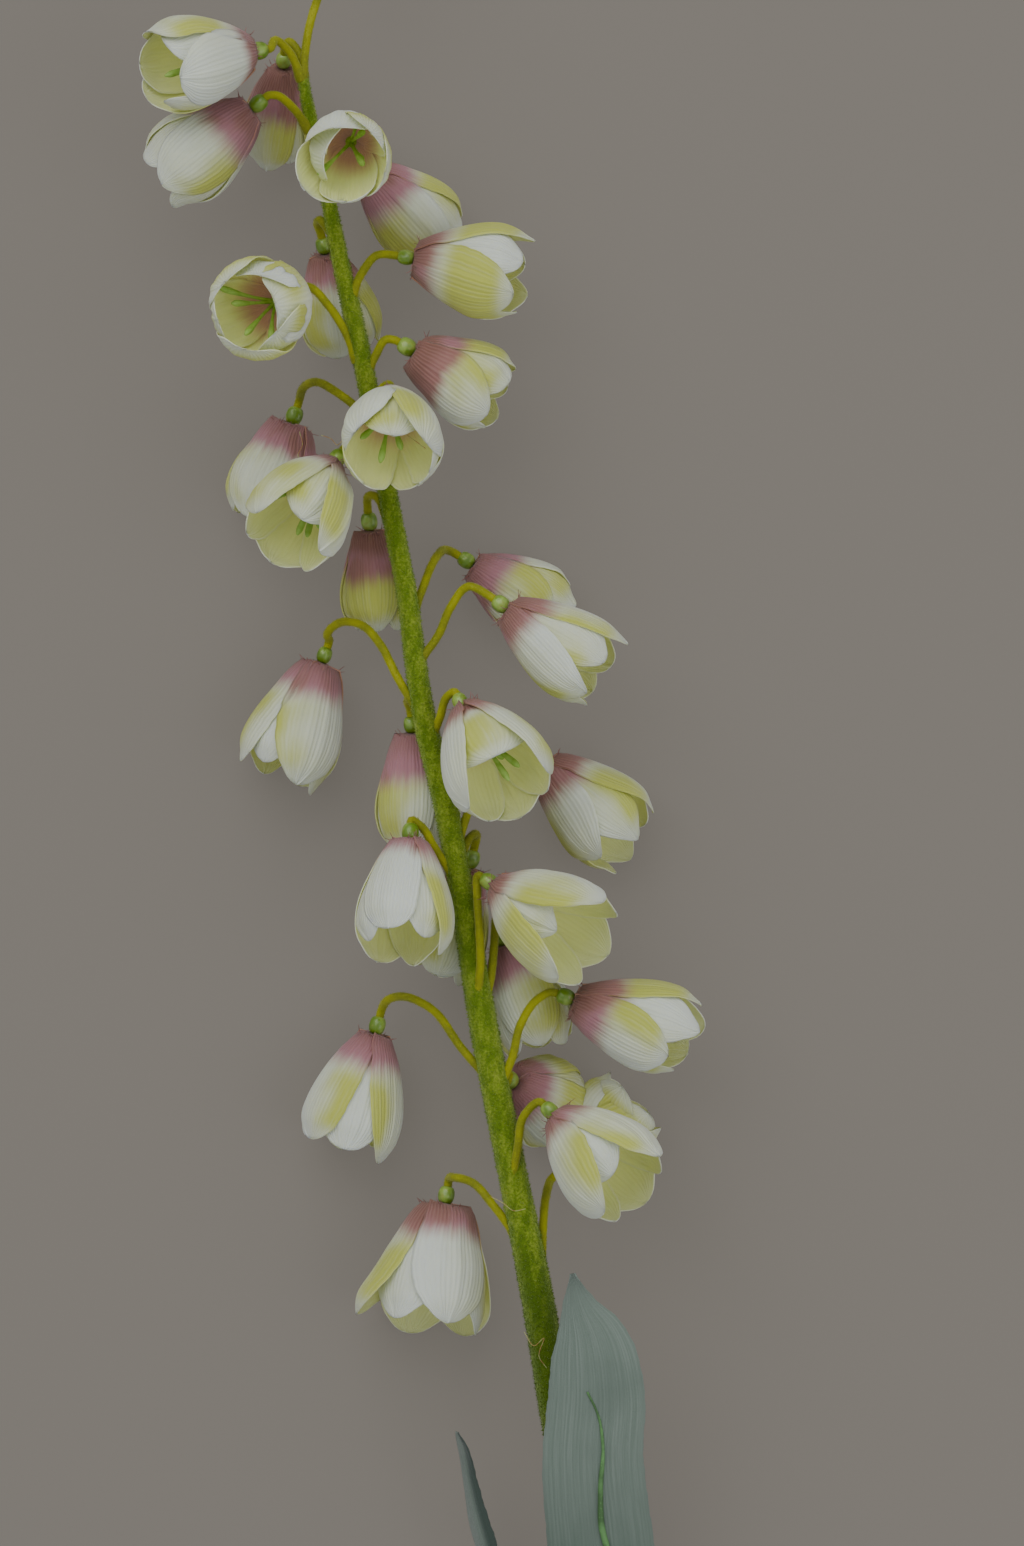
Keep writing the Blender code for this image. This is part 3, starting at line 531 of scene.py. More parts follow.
def petalSkin(bell, index, draw):        # the middle skin of one petal, with its place along and across
    neck, axis, upper, side = (np.array(p) for p in bellFrame(bell))
    inner = index % 2 == 1
    trait = traits.get(bell.node, {}).get(index, usualTrait)
    turn = bell.roll + 360 / petal["count"] * index + draw.normal(0, petal["turnVaries"]) + trait.turn
    out, beside = spoke(upper, side, math.radians(turn))
    more = varied(draw, petal["lengthVaries"]) if trait is usualTrait else 0.0
    length = bell.length * (trait.longer + more)
    belly = bell.belly
    flare = bell.mouth - belly
    tip = bell.mouth + varied(draw, petal["tipVaries"]) * belly / 16
    half = petal["halfWidth"] * belly * trait.wider * (1 + varied(draw, petal["widthVaries"]))
    half = half * (petal["innerWidth"] if inner else 1.0)

    t = np.linspace(0, 1, petal["rows"])[:, None]
    along = t + t**2 - t**3              # closer rows near the tip, which is round
    across = np.linspace(-1, 1, petal["columns"] + 1)[None, :]
    along, across = np.broadcast_arrays(along, across)

    collar = collars.get(bell.node, petal["collar"]) + varied(draw, petal["collarVaries"])
    reach = np.minimum(along * length / bell.length, 1.0)    # along the bell, however long the petal is
    radius = through(reach, profileKnots, (
        petal["rootRadius"], collar * belly, (collar + 0.10) * belly, (0.5 * collar + 0.40) * belly,
        0.71 * belly, 0.85 * belly, 0.95 * belly, belly + 0.15 * flare, belly + 0.5 * flare, tip))
    radius = radius - petal["spoon"] * belly * np.clip((along - 0.8) / 0.2, 0, 1) ** 2
    bow = through(along, bowKnots, bowShares) * radius
    radius = radius + trait.bend * smoothStep(along, 0.35, 1.0) ** 1.5
    depth = along * length + (petal["innerDrop"] if inner else 0.0) * (1 - smoothStep(reach, 0.0, 0.3))
    depth = depth + 0.3 + 0.12 * (index // 2) - 0.025 * length * np.exp(-((reach - 0.04) / 0.035) ** 2)
    depth = depth - abs(trait.bend) * 0.35 * smoothStep(along, 0.5, 1.0)
    depth = depth + petal["tipPoint"] * length * smoothStep(along, 0.93, 1.0)

    angle = across * np.minimum(halfWidths(trait, half, along, across, reach, draw) / bow, widestAngle)
    corner = petal["corner"] * draw.uniform(0.2, 1.4) * np.abs(across) ** 5
    corner = corner * np.exp(-((reach - 0.045) / 0.028) ** 2)
    radial = radius - bow * (1 - np.cos(angle)) + 0.5 * corner
    place = (neck + axis * (depth - corner)[..., None] + out * radial[..., None]
             + beside * (bow * np.sin(angle))[..., None])
    outward = out * np.cos(angle)[..., None] + beside * np.sin(angle)[..., None]
    normal = skins(place, outward, 0.0)[2]
    move = clothMoves(inner, along, across, reach, draw)
    return place + normal * move[..., None], outward, along, across


# How far the mauve print comes down a bell, against the usual, how much of it is yellow-green, and the
# bells whose mauve is rosy
usualFlush = 0.9
flushes = {
    "bell_01": 0.6, "bell_02": 1.4, "bell_03": 1.25, "bell_04": 0.6, "bell_05": 1.0, "bell_06": 0.75,
    "bell_07": 0.6, "bell_09": 1.4, "bell_10": 0.5, "bell_11": 1.15, "bell_12": 0.6, "bell_13": 1.45,
    "bell_14": 1.4, "bell_17": 1.4, "bell_18": 0.6, "bell_20": 0.4, "bell_22": 0.5, "bell_23": 1.2,
    "bell_24": 1.1, "bell_26": 0.7, "bell_27": 0.6, "bell_28": 0.6, "bell_29": 0.75,
}
usualTint = 0.4
tints = {
    "bell_01": 0.3, "bell_03": 0.35, "bell_05": 0.75, "bell_06": 1.0, "bell_07": 0.7, "bell_09": 0.6,
    "bell_10": 0.55, "bell_12": 0.7, "bell_13": 0.9, "bell_18": 0.65, "bell_22": 0.65, "bell_23": 0.35,
    "bell_25": 0.6, "bell_26": 0.4, "bell_28": 0.8, "bell_29": 0.3,
}
rosyBells = {f"bell_{number:02}" for number in (3, 5, 11, 14, 16, 17, 20, 23, 25, 26)}


def settle(made, slot, *nodes):
    for point in made.data.vertices:     # nothing sinks into the floor it lies on
        point.co.z = max(point.co.z, 0.02 * mm)
    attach(made, wholeBody)
    if nodes:
        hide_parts(*nodes)
    print(made.name + ":", len(made.data.polygons), "faces")


def makeBell(bell, cloth, number):
    draw = np.random.default_rng(petal["seed"] + number)
    allPoints, allFaces, allNumbers = [], [], []
    start = 0
    for index in range(petal["count"]):
        place, outward, along, across = petalSkin(bell, index, draw)
        front, back, normal = skins(place, outward, petal["cloth"])
        points, faces = closedSheet(front, back, start)
        start += len(points)
        allPoints.append(points)
        allFaces.append(faces)
        trait = traits.get(bell.node, {}).get(index, usualTrait)
        allOver = {
            "chance": draw.uniform(0, 10),
            "flush": flushes.get(bell.node, usualFlush) * draw.uniform(0.85, 1.15),
            "rosy": float(bell.node in rosyBells),
            "tone": draw.choice([-1, 1]) * draw.uniform(0.4, 1) if trait.tone is None else trait.tone,
            "tint": trait.tint,
        }
        if trait.tint is None:
            allOver["tint"] = tints.get(bell.node, usualTint) + varied(draw, 0.25)
        numbers = {key: np.full(len(points), value) for key, value in allOver.items()}
        allNumbers.append({**numbers, **skinNumbers(along, across)})
    numbers = {key: np.concatenate([each[key] for each in allNumbers]) for key in allNumbers[0]}
    name = bell.node.replace("bell", "bellCloth").replace("bud", "budCloth")
    made = linked(name, clothMesh(name, np.concatenate(allPoints), np.concatenate(allFaces), numbers))
    made.data.materials.append(cloth)
    settle(made, "petal_cloth", bell.node)


petalPrint = {
    "cream": (0.63, 0.66, 0.49),
    "white": (0.70, 0.745, 0.665),
    "green": (0.485, 0.515, 0.078),
    "mauve": (0.31, 0.125, 0.118),
    "mauveDark": (0.19, 0.062, 0.045),
    "mauvePale": (0.48, 0.27, 0.24),
    "mauvePink": (0.41, 0.175, 0.225),
    "insideLight": (0.73, 0.79, 0.32),
    "insideDeep": (0.42, 0.20, 0.13),
    "glow": (0.90, 0.88, 0.34),          # painted light: emission on the inner faces, standing in for light through the thin cloth
    "glowDeep": (0.90, 0.60, 0.36),      # the same painted light near the neck, warmer, as through the mauve
    # strength of that painted glow
    "glowStrength": 0.085,
    "ribs": 17.0,                        # across a petal
    "weave": 4200.0,                     # threads a metre
}


def petalWires(cloth):                   # what the print is worked out from
    on = SimpleNamespace(**{name: cloth.number(name) for name in (
        "along", "across", "inside", "chance", "flush", "rosy", "tone", "tint")})
    on.streak = cloth.noise(cloth.join(on.across * 9.0, on.along * 1.2, on.chance), 1.0, 3.0, 0.6)
    on.blot = cloth.noise(cloth.join(on.across * 0.8, on.along * 1.6, on.chance + 20.0), 1.3, 1.0)
    on.rib = cloth.wave(on.across * 0.5 + (on.streak - 0.5) * 0.05, petalPrint["ribs"])
    on.edge = cloth.maths("ABSOLUTE", on.across)
    on.rim = cloth.smooth(on.edge, 0.90, 1.0)
    on.lining = 1.0 - cloth.smooth(on.along + (on.streak - 0.5) * 0.1, 0.09, 0.45)
    return on


def palePrint(cloth, on):                # cream, with yellow-green to one side and white to the other
    leanTo = on.across * on.tone + (on.blot - 0.5) * 1.1 + on.tint
    greenish = cloth.smooth(leanTo, 0.0, 0.75) * cloth.smooth(on.along, 0.22, 0.48)
    greenish = greenish * (1.0 - cloth.smooth(on.along, 0.80, 0.97) * 0.6)
    pale = 1.0 - cloth.smooth(leanTo, -0.9, 0.3)
    ribbed = on.rib * 0.35 * cloth.smooth(on.streak, 0.35, 0.65) * (1.0 - greenish * 0.6)
    colour = cloth.blend(greenish * 0.95, petalPrint["cream"], petalPrint["green"])
    colour = cloth.blend(cloth.maths("MAXIMUM", ribbed, pale * 0.85), colour, petalPrint["white"])
    return cloth.tinged(colour, on.along, 0.86, 1.0, 0.55, petalPrint["white"])


def outerPrint(cloth, on):               # mauve down from the neck, over the pale print
    bend = on.along + (on.streak - 0.5) * 0.16 + (on.blot - 0.5) * 0.14 - (on.edge ** 2.0) * 0.04
    reach = on.flush * 0.26
    mauve = 1.0 - cloth.smooth(bend - reach, -0.06, 0.16)
    deep = 1.0 - cloth.smooth(bend - reach * 0.45, -0.08, 0.14)
    pinkish = cloth.smooth(on.blot + on.rosy * 0.16, 0.45, 0.62) * (1.0 - deep * (1.0 - on.rosy * 0.45)) * 0.8
    colour = cloth.blend(deep * 0.85 + on.rim * 0.15, petalPrint["mauve"], petalPrint["mauveDark"])
    colour = cloth.blend(on.rib * 0.25, colour, petalPrint["mauvePale"])
    colour = cloth.blend(pinkish, colour, petalPrint["mauvePink"])
    return cloth.blend(mauve * 0.95, palePrint(cloth, on), colour)


def innerPrint(cloth, on):               # brown mauve at the neck, yellow-green below it, a cream margin
    colour = cloth.blend(on.lining, petalPrint["insideLight"], petalPrint["insideDeep"])
    colour = cloth.tinged(colour, on.along + (on.blot - 0.5) * 0.3, 0.66, 1.0, 0.4, petalPrint["cream"])
    colour = cloth.blend(on.rim * 0.5 * cloth.smooth(on.along, 0.3, 0.5), colour, petalPrint["cream"])
    return cloth.blend(cloth.smooth(on.along, 0.01, 0.05), petalPrint["mauve"], colour)


def makePetalCloth():
    cloth = Finish("petalCloth", {
        "Specular IOR Level": 0.25, "Sheen Weight": 0.12, "Sheen Roughness": 0.5,
        "Subsurface Weight": 0.5, "Subsurface Scale": 0.0012, "Subsurface Radius": (1.0, 0.95, 0.6),
        # emission for the painted glow of the inner faces
        "Emission Strength": petalPrint["glowStrength"],
    })
    on = petalWires(cloth)
    colour = cloth.blend(on.inside, outerPrint(cloth, on), innerPrint(cloth, on))
    weave = cloth.noise(cloth.place(), petalPrint["weave"], 1.0)
    height = on.rib * 0.6 + weave * 0.5 + on.streak * 0.4
    # painted light: the inner faces glow, most near the neck, lifting the shade inside each bell as light
    # through the cloth would
    paintedGlowShare = on.inside * (1.45 - on.along * 1.25) * cloth.smooth(on.along, -0.05, 0.03)
    paintedGlowColour = cloth.blend(on.lining, petalPrint["glow"], petalPrint["glowDeep"])
    glow = cloth.blend(paintedGlowShare, (0.0, 0.0, 0.0), paintedGlowColour)
    return cloth.feed(colour=colour, rough=0.62 + on.streak * 0.2, normal=cloth.bump(height, 0.22), glow=glow)


petalCloth = makePetalCloth()
for number, bell in enumerate(bells):
    makeBell(bell, petalCloth, number)
print("bells made:", len(bells) - 1, "and a bud")


# Geometry Nodes: one tree sweeps a round section along polylines, one sets copies on points
class Growth(Graph):                     # a tree that starts with a host's geometry and some named inputs
    def __init__(self, name, **inputs):
        super().__init__(bpy.data.node_groups.new(name, "GeometryNodeTree"))
        newSocket = self.tree.interface.new_socket
        newSocket("Geometry", in_out="OUTPUT", socket_type="NodeSocketGeometry")
        for kind, labels in {"Geometry": ("Geometry",), **inputs}.items():
            for label in labels:
                newSocket(label, in_out="INPUT", socket_type="NodeSocket" + kind)
        self.entry = self.tree.nodes.new("NodeGroupInput")

    def given(self, label):
        return Wire(self, self.entry.outputs[label])

    def named(self, attribute, kind="FLOAT"):
        return self.add("GeometryNodeInputNamedAttribute", {"data_type": kind}, {"Name": attribute})

    def chance(self, low, high, seed):
        return self.add("FunctionNodeRandomValue", {"data_type": "FLOAT"},
                        {2: low, 3: high, "Seed": seed}, out=1)

    def rotated(self, rotation, by):
        return self.add("FunctionNodeRotateRotation", {"rotation_space": "LOCAL"}, {0: rotation, 1: by})

    def copies(self, points, source, rotation, size):
        return self.add("GeometryNodeInstanceOnPoints", None, {
            "Points": points, "Instance": source, "Rotation": rotation, "Scale": size})

    def whole(self, geometry):           # one plain mesh in one material
        real = self.add("GeometryNodeRealizeInstances", None, {"Geometry": geometry})
        painted = self.add("GeometryNodeSetMaterial", None,
                           {"Geometry": real, "Material": self.given("Finish")})
        result = self.tree.nodes.new("NodeGroupOutput")
        self.tree.links.new(painted.socket, result.inputs["Geometry"])
        return self.tree


def sweepTree():
    graph = Growth("sweepAlong", Int=("Sides", "Seed"), Material=("Finish",), Float=(
        "Lump Height", "Lump Scale", "Fibre Density", "Fibre Length", "Fibre Radius", "Fibre Lean"))
    seed, lean = graph.given("Seed"), graph.given("Fibre Lean")
    lines = graph.add("GeometryNodeMeshToCurve", None, {"Mesh": graph.given("Geometry")})
    section = graph.add("GeometryNodeCurvePrimitiveCircle", None,
                        {"Resolution": graph.given("Sides"), "Radius": 1.0})
    rod = graph.add("GeometryNodeCurveToMesh", None, {
        "Curve": lines, "Profile Curve": section, "Scale": graph.named("width"), "Fill Caps": True})
    lump = graph.noise(graph.add("GeometryNodeInputPosition"), graph.given("Lump Scale"), 3.0)
    push = graph.add("ShaderNodeVectorMath", {"operation": "SCALE"}, {
        0: graph.add("GeometryNodeInputNormal"), "Scale": (lump - 0.5) * graph.given("Lump Height")})
    rod = graph.add("GeometryNodeSetPosition", None, {"Geometry": rod, "Offset": push})
    rod = graph.add("GeometryNodeSetShadeSmooth", None, {0: rod})

    spots = graph.add("GeometryNodeDistributePointsOnFaces", None, {
        "Mesh": rod, "Density": graph.given("Fibre Density"), "Seed": seed})
    upright = Wire(graph, spots.socket.node.outputs["Rotation"])
    tilt = graph.add("FunctionNodeRandomValue", {"data_type": "FLOAT_VECTOR"}, {
        0: graph.join(-lean, -lean, 0.0), 1: graph.join(lean, lean, 6.28), "Seed": seed + 1})
    tilted = graph.rotated(upright, graph.add("FunctionNodeEulerToRotation", None, {0: tilt}))
    fibre = graph.add("GeometryNodeMeshCone", {"fill_type": "NONE"}, {
        "Vertices": 3, "Radius Top": 0.0, "Radius Bottom": graph.given("Fibre Radius"),
        "Depth": graph.given("Fibre Length")})
    fibres = graph.copies(spots, fibre, tilted, graph.chance(0.6, 1.3, seed + 2))
    both = graph.add("GeometryNodeJoinGeometry", None, {0: rod})
    graph.tree.links.new(fibres.socket, both.socket.node.inputs[0])
    return graph.whole(both)


def copyTree():
    graph = Growth("copyOnPoints", Object=("Copy",), Int=("Seed",), Material=("Finish",))
    points = graph.add("GeometryNodeMeshToPoints", None, {"Mesh": graph.given("Geometry")})
    aim = graph.named("aim", "FLOAT_VECTOR")
    aimed = graph.add("FunctionNodeAlignRotationToVector", {"axis": "Z"}, {"Vector": aim})
    spin = graph.chance(0.0, math.tau, graph.given("Seed"))
    spun = graph.rotated(aimed, graph.add("FunctionNodeAxisAngleToRotation", None, {"Angle": spin}))
    source = graph.add("GeometryNodeObjectInfo", None, {"Object": graph.given("Copy")}, out=4)
    return graph.whole(graph.copies(points, source, spun, graph.named("size")))


sweep = sweepTree()
copyOn = copyTree()


def grown(name, host, tree, values):     # the plain mesh that a tree makes from its host
    maker = host.modifiers.new(name, "NODES")
    maker.node_group = tree
    for item in tree.interface.items_tree:
        if item.in_out == "INPUT" and item.name in values:
            maker[item.identifier] = values[item.name]
    seen = host.evaluated_get(bpy.context.evaluated_depsgraph_get())
    mesh = bpy.data.meshes.new_from_object(seen)
    mesh.name = name
    bpy.data.objects.remove(host)
    return linked(name, mesh)


def pathHost(name, paths):               # polylines with a width at each point, for the sweep
    points, edges, widths = [], [], []
    for path in paths:
        start = len(points)
        points += [tuple(p[:3] * mm) for p in path]
        widths += [p[3] * mm for p in path]
        edges += [(start + i, start + i + 1) for i in range(len(path) - 1)]
    mesh = bpy.data.meshes.new(name)
    mesh.from_pydata(points, edges, [])
    mesh.attributes.new("width", "FLOAT", "POINT").data.foreach_set("value", widths)
    return linked(name, mesh)


def pointHost(name, rows):               # points with an aim and a size, for the copies
    mesh = bpy.data.meshes.new(name)
    mesh.from_pydata([tuple(Vector(place) * mm) for place, aim, size in rows], [], [])
    aims = [c for place, aim, size in rows for c in aim]
    mesh.attributes.new("aim", "FLOAT_VECTOR", "POINT").data.foreach_set("vector", aims)
    sizes = [size for place, aim, size in rows]
    mesh.attributes.new("size", "FLOAT", "POINT").data.foreach_set("value", sizes)
    return linked(name, mesh)


def swept(name, paths, sizes, finish):   # rods along paths, with or without fibres, as a piece's sizes say
    return grown(name, pathHost(name + "Paths", paths), sweep, {
        "Sides": sizes["sides"], "Lump Height": sizes["lumpHeight"] * mm, "Lump Scale": sizes["lumpScale"],
        "Fibre Density": sizes.get("fibres", 0.0), "Fibre Length": sizes.get("fibreLength", 1.0) * mm,
        "Fibre Radius": sizes.get("fibreRadius", 0.1) * mm, "Fibre Lean": sizes.get("fibreLean", 0.0),
        "Seed": sizes["seed"], "Finish": finish})


def turned(name, sizes):                 # a closed shape turned from an outline of radius and height
    shape = bmesh.new()
    turns = np.linspace(0, math.tau, sizes["sides"], endpoint=False)
    circle = [Vector((math.cos(turn), math.sin(turn) * sizes["squash"], 0)) for turn in turns]
    rings = [[shape.verts.new((point * radius + Vector((0, 0, height))) * mm) for point in circle]
             for radius, height in sizes["outline"]]
    for low, high in zip(rings, rings[1:]):
        for k in range(len(turns)):
            shape.faces.new((low[k - 1], low[k], high[k], high[k - 1]))
    shape.faces.new(rings[0])
    shape.faces.new(rings[-1])
    bmesh.ops.recalc_face_normals(shape, faces=shape.faces)
    mesh = bpy.data.meshes.new(name)
    shape.to_mesh(mesh)
    shape.free()
    mesh.shade_smooth()
    return mesh


def copied(name, rows, sizes, finish):   # a turned shape on each point
    source = linked(name + "Shape", turned(name + "Shape", sizes))
    made = grown(name, pointHost(name + "Points", rows), copyOn, {
        "Copy": source, "Seed": sizes["seed"], "Finish": finish})
    bpy.data.objects.remove(source)
    return made


# Flocked stalk: a lumpy core with short fibres standing on it
stalk = {
    "sides": 28,
    "step": 2.0,
    "lumpHeight": 0.8,
    "lumpScale": 260.0,
    "fibres": 2400000.0,                 # a square metre
    "fibreLength": 0.85,
    "fibreRadius": 0.11,
    "fibreLean": 0.9,
    "seed": 3,
    "streaks": (1.0, 0.35, 1.0),         # patches are drawn out along the stalk
    "green": (0.175, 0.262, 0.008),
    "greenDark": (0.108, 0.188, 0.004),
    "greenYellow": (0.32, 0.39, 0.05),
    "footDark": (0.050, 0.100, 0.003),
    "footEnds": (-0.125, -0.075),        # where the dark foot fades out, in metres
}


def makeFlock():
    flock = Finish("greenFlock", {"Specular IOR Level": 0.15, "Sheen Weight": 0.6, "Sheen Roughness": 0.5,
                                  "Sheen Tint": (0.75, 0.9, 0.35, 1.0)})
    place = flock.place()
    drawnOut = flock.add("ShaderNodeVectorMath", {"operation": "MULTIPLY"}, {0: place, 1: stalk["streaks"]})
    patch = flock.noise(drawnOut, 330.0, 3.0, 0.6)
    speck = flock.noise(place, 1300.0, 3.0, 0.65)
    colour = flock.mottled(patch, 0.14, stalk["greenDark"], stalk["green"])
    colour = flock.blend((1.0 - flock.smooth(speck, 0.32, 0.50)) * 0.30, colour, stalk["footDark"])
    colour = flock.tinged(colour, patch * 0.4 + speck * 0.7, 0.52, 0.70, 0.60, stalk["greenYellow"])
    height = flock.add("ShaderNodeSeparateXYZ", None, {0: place}, out=1)
    foot = 1.0 - flock.smooth(height + (patch - 0.5) * 0.06, *stalk["footEnds"])
    colour = flock.blend(foot * 0.75, colour, stalk["footDark"])
    return flock.feed(colour=colour, rough=0.85 + speck * 0.15, normal=flock.bump(speck, 0.5))


def makeStalk(finish):
    line = lineThrough([(*placed(p[:3]), p[3]) for p in stalkLine], stalk["step"])
    settle(swept("flockedStalk", [line], stalk, finish), "flocked_green", "stem")


makeStalk(makeFlock())


# Pedicels: coated wires that swell where they leave the stalk
pedicel = {
    "sides": 14,
    "step": 0.9,
    "radius": 1.4,
    "rootRadius": 2.1,
    "rootLength": 7.0,
    "ends": (-7.2, -4.4),                # from the neck: straight through the bead
    "lumpHeight": 0.28,
    "lumpScale": 420.0,
    "fibres": 1400000.0,                 # a square metre
    "fibreLength": 0.5,
    "fibreRadius": 0.08,
    "fibreLean": 0.9,
    "seed": 5,
    "olive": (0.31, 0.31, 0.003),
    "oliveDark": (0.19, 0.20, 0.003),
    "oliveLight": (0.37, 0.42, 0.018),
}


def makeOlive():
    wire = Finish("oliveWire", {"Specular IOR Level": 0.3, "Sheen Weight": 0.4, "Sheen Roughness": 0.5,
                                "Sheen Tint": (0.85, 0.9, 0.3, 1.0)})
    place = wire.place()
    speck = wire.noise(place, 1500.0)
    colour = wire.mottled(wire.noise(place, 110.0), 0.15, pedicel["oliveDark"], pedicel["olive"])
    colour = wire.tinged(colour, speck, 0.5, 0.8, 0.6, pedicel["oliveLight"])
    return wire.feed(colour=colour, rough=0.55 + speck * 0.25, normal=wire.bump(speck, 0.12))


def pedicelPath(bell):
    neck, axis, upper, side = bellFrame(bell)
    stations = [placed(p) for p in bell.route] + [neck + axis * end for end in pedicel["ends"]]
    path = lineThrough(stations, pedicel["step"])
    reach = np.linalg.norm(path - path[0], axis=1)
    swell = 1 - smoothStep(reach, 0.0, pedicel["rootLength"])
    radius = pedicel["radius"] + (pedicel["rootRadius"] - pedicel["radius"]) * swell
    return np.column_stack([path, radius])


def makePedicels(finish):
    paths = [pedicelPath(bell) for bell in bells]
    settle(swept("pedicels", paths, pedicel, finish), "pedicel_green", "stem")


makePedicels(makeOlive())


# Beads above the necks: oblong plastic berries with a dimple at the wire
bead = {
    "sides": 24,
    "squash": 0.94,
    "seed": 7,
    "sizeSeed": 31,
    "fromNeck": 2.7,
    "sizes": (0.88, 1.04),               # the smallest and the largest
    "outline": ((0.9, -3.0), (1.6, -3.05), (2.25, -2.7), (2.8, -1.7), (3.0, -0.4), (2.95, 0.8),
                (2.6, 1.9), (2.0, 2.7), (1.4, 2.95), (0.9, 2.8)),
    "green": (0.14, 0.25, 0.012),
    "jade": (0.30, 0.45, 0.075),
    "yellow": (0.30, 0.34, 0.04),
}


def makeJade():
    jade = Finish("jadePlastic", {
        "Specular IOR Level": 0.5, "Coat Roughness": 0.12, "Subsurface Weight": 0.25,
        "Subsurface Scale": 0.003, "Subsurface Radius": (0.6, 1.0, 0.4), "Coat Weight": 0.35})
    place = jade.place()
    cloud = jade.noise(place, 170.0)
    fine = jade.noise(place, 700.0)
    colour = jade.blend(jade.smooth(cloud, 0.40, 0.58), bead["green"], bead["jade"])
    colour = jade.tinged(colour, cloud * 0.4 + fine * 0.6, 0.52, 0.68, 0.8, bead["yellow"])
    return jade.feed(colour=colour, rough=0.22 + fine * 0.2, normal=jade.bump(cloud, 0.5))


def makeBeads(finish):
    draw = np.random.default_rng(bead["sizeSeed"])
    rows = []
    for bell in bells:
        neck, axis, upper, side = bellFrame(bell)
        rows.append((neck - axis * bead["fromNeck"], axis, draw.uniform(*bead["sizes"])))
    settle(copied("beads", rows, bead, finish), "bead_green", "stem")


makeBeads(makeJade())


# Stamens: soft green threads that end in clubs, spreading from a knob inside each bell
stamen = {
    "count": 5,
    "sides": 10,
    "step": 0.7,
    "lumpHeight": 0.15,
    "lumpScale": 500.0,
    "seed": 11,
    "spreadSeed": 17,
    "fromNeck": 4.4,
    "turnVaries": 9.0,
    "spread": 26.0,
    "spreadVaries": 8.0,
    "length": 0.62,                      # as a share of the bell's length
    "lengthVaries": 0.12,
    "bow": 0.10,                         # as a share of its own length
    "knots": (0.0, 0.15, 0.62, 0.74, 0.86, 0.95, 1.0),
    "radii": (0.85, 0.70, 0.66, 0.90, 1.12, 0.95, 0.35),
    "green": (0.37, 0.57, 0.13),
    "greenDeep": (0.26, 0.45, 0.06),
}
stamenTips = {                           # of the bells that are seen into, from the neck, in millimetres
    "bell_01": ((-28, -9, 14),),
    "bell_04": ((3, 7, 20), (4, -10, 21), (-11, -13, 21)),
    "bell_07": ((-19, 3, 22), (-15, -2, 20), (-10.5, -12.5, 21), (-2, -14.5, 19)),
    "bell_10": ((-3, -22, 15), (-9.5, -14, 14)),
    "bell_12": ((-26, -13, 11), (-11.6, -23.7, 12), (-4.5, -21.5, 13)),
    "bell_18": ((15, -24, 11), (18.5, -19.5, 12)),
    "bell_20": ((-2.7, -26, 8),),
    "bell_22": ((19, -3, 10),),
    "bell_27": ((8.5, -28, 4),),
    "bell_29": ((-4, -33, 4),),
}
knob = {
    "sides": 16,
    "squash": 1.0,
    "seed": 13,
    "outline": ((0.5, 2.6), (1.3, 3.2), (1.95, 4.4), (1.7, 5.4), (0.9, 6.1)),
}


def makeStamenGreen():
    soft = Finish("stamenGreen", {"Specular IOR Level": 0.35})
    place = soft.place()
    grain = soft.noise(place, 2200.0)
    colour = soft.mottled(soft.noise(place, 260.0), 0.15, stamen["greenDeep"], stamen["green"])
    return soft.feed(colour=colour, rough=0.5 + grain * 0.25, normal=soft.bump(grain, 0.15))


def makeStamens(finish):
    draw = np.random.default_rng(stamen["spreadSeed"])
    paths, knobs = [], []
    between = 360 / stamen["count"]
    for bell in bells[:-1]:
        neck, axis, upper, side = bellFrame(bell)
        knobs.append((neck, axis, 1.0))
        seen = stamenTips.get(bell.node, ())
        first = draw.uniform(0, between)
        for k in range(stamen["count"]):
            turn = first + between * k + draw.normal(0, stamen["turnVaries"])
            out = spoke(upper, side, math.radians(turn))[0]
            spread = math.radians(stamen["spread"] + varied(draw, stamen["spreadVaries"]))
            reach = bell.length * (stamen["length"] + varied(draw, stamen["lengthVaries"]))
            tip = neck + (axis * math.cos(spread) + out * math.sin(spread)) * reach
            if k < len(seen):
                tip = neck + Vector(seen[k])
            root = neck + axis * stamen["fromNeck"]
            half = (root + tip) / 2 + axis * (tip - root).length * stamen["bow"]
            path = lineThrough([root, half, tip], stamen["step"])
            share = np.linspace(0, 1, len(path))
            paths.append(np.column_stack([path, through(share, stamen["knots"], stamen["radii"])]))
    settle(swept("stamens", paths, stamen, finish), "stamen_green", "stem")
    settle(copied("stamenKnobs", knobs, knob, finish), "stamen_green", "stem")


makeStamens(makeStamenGreen())


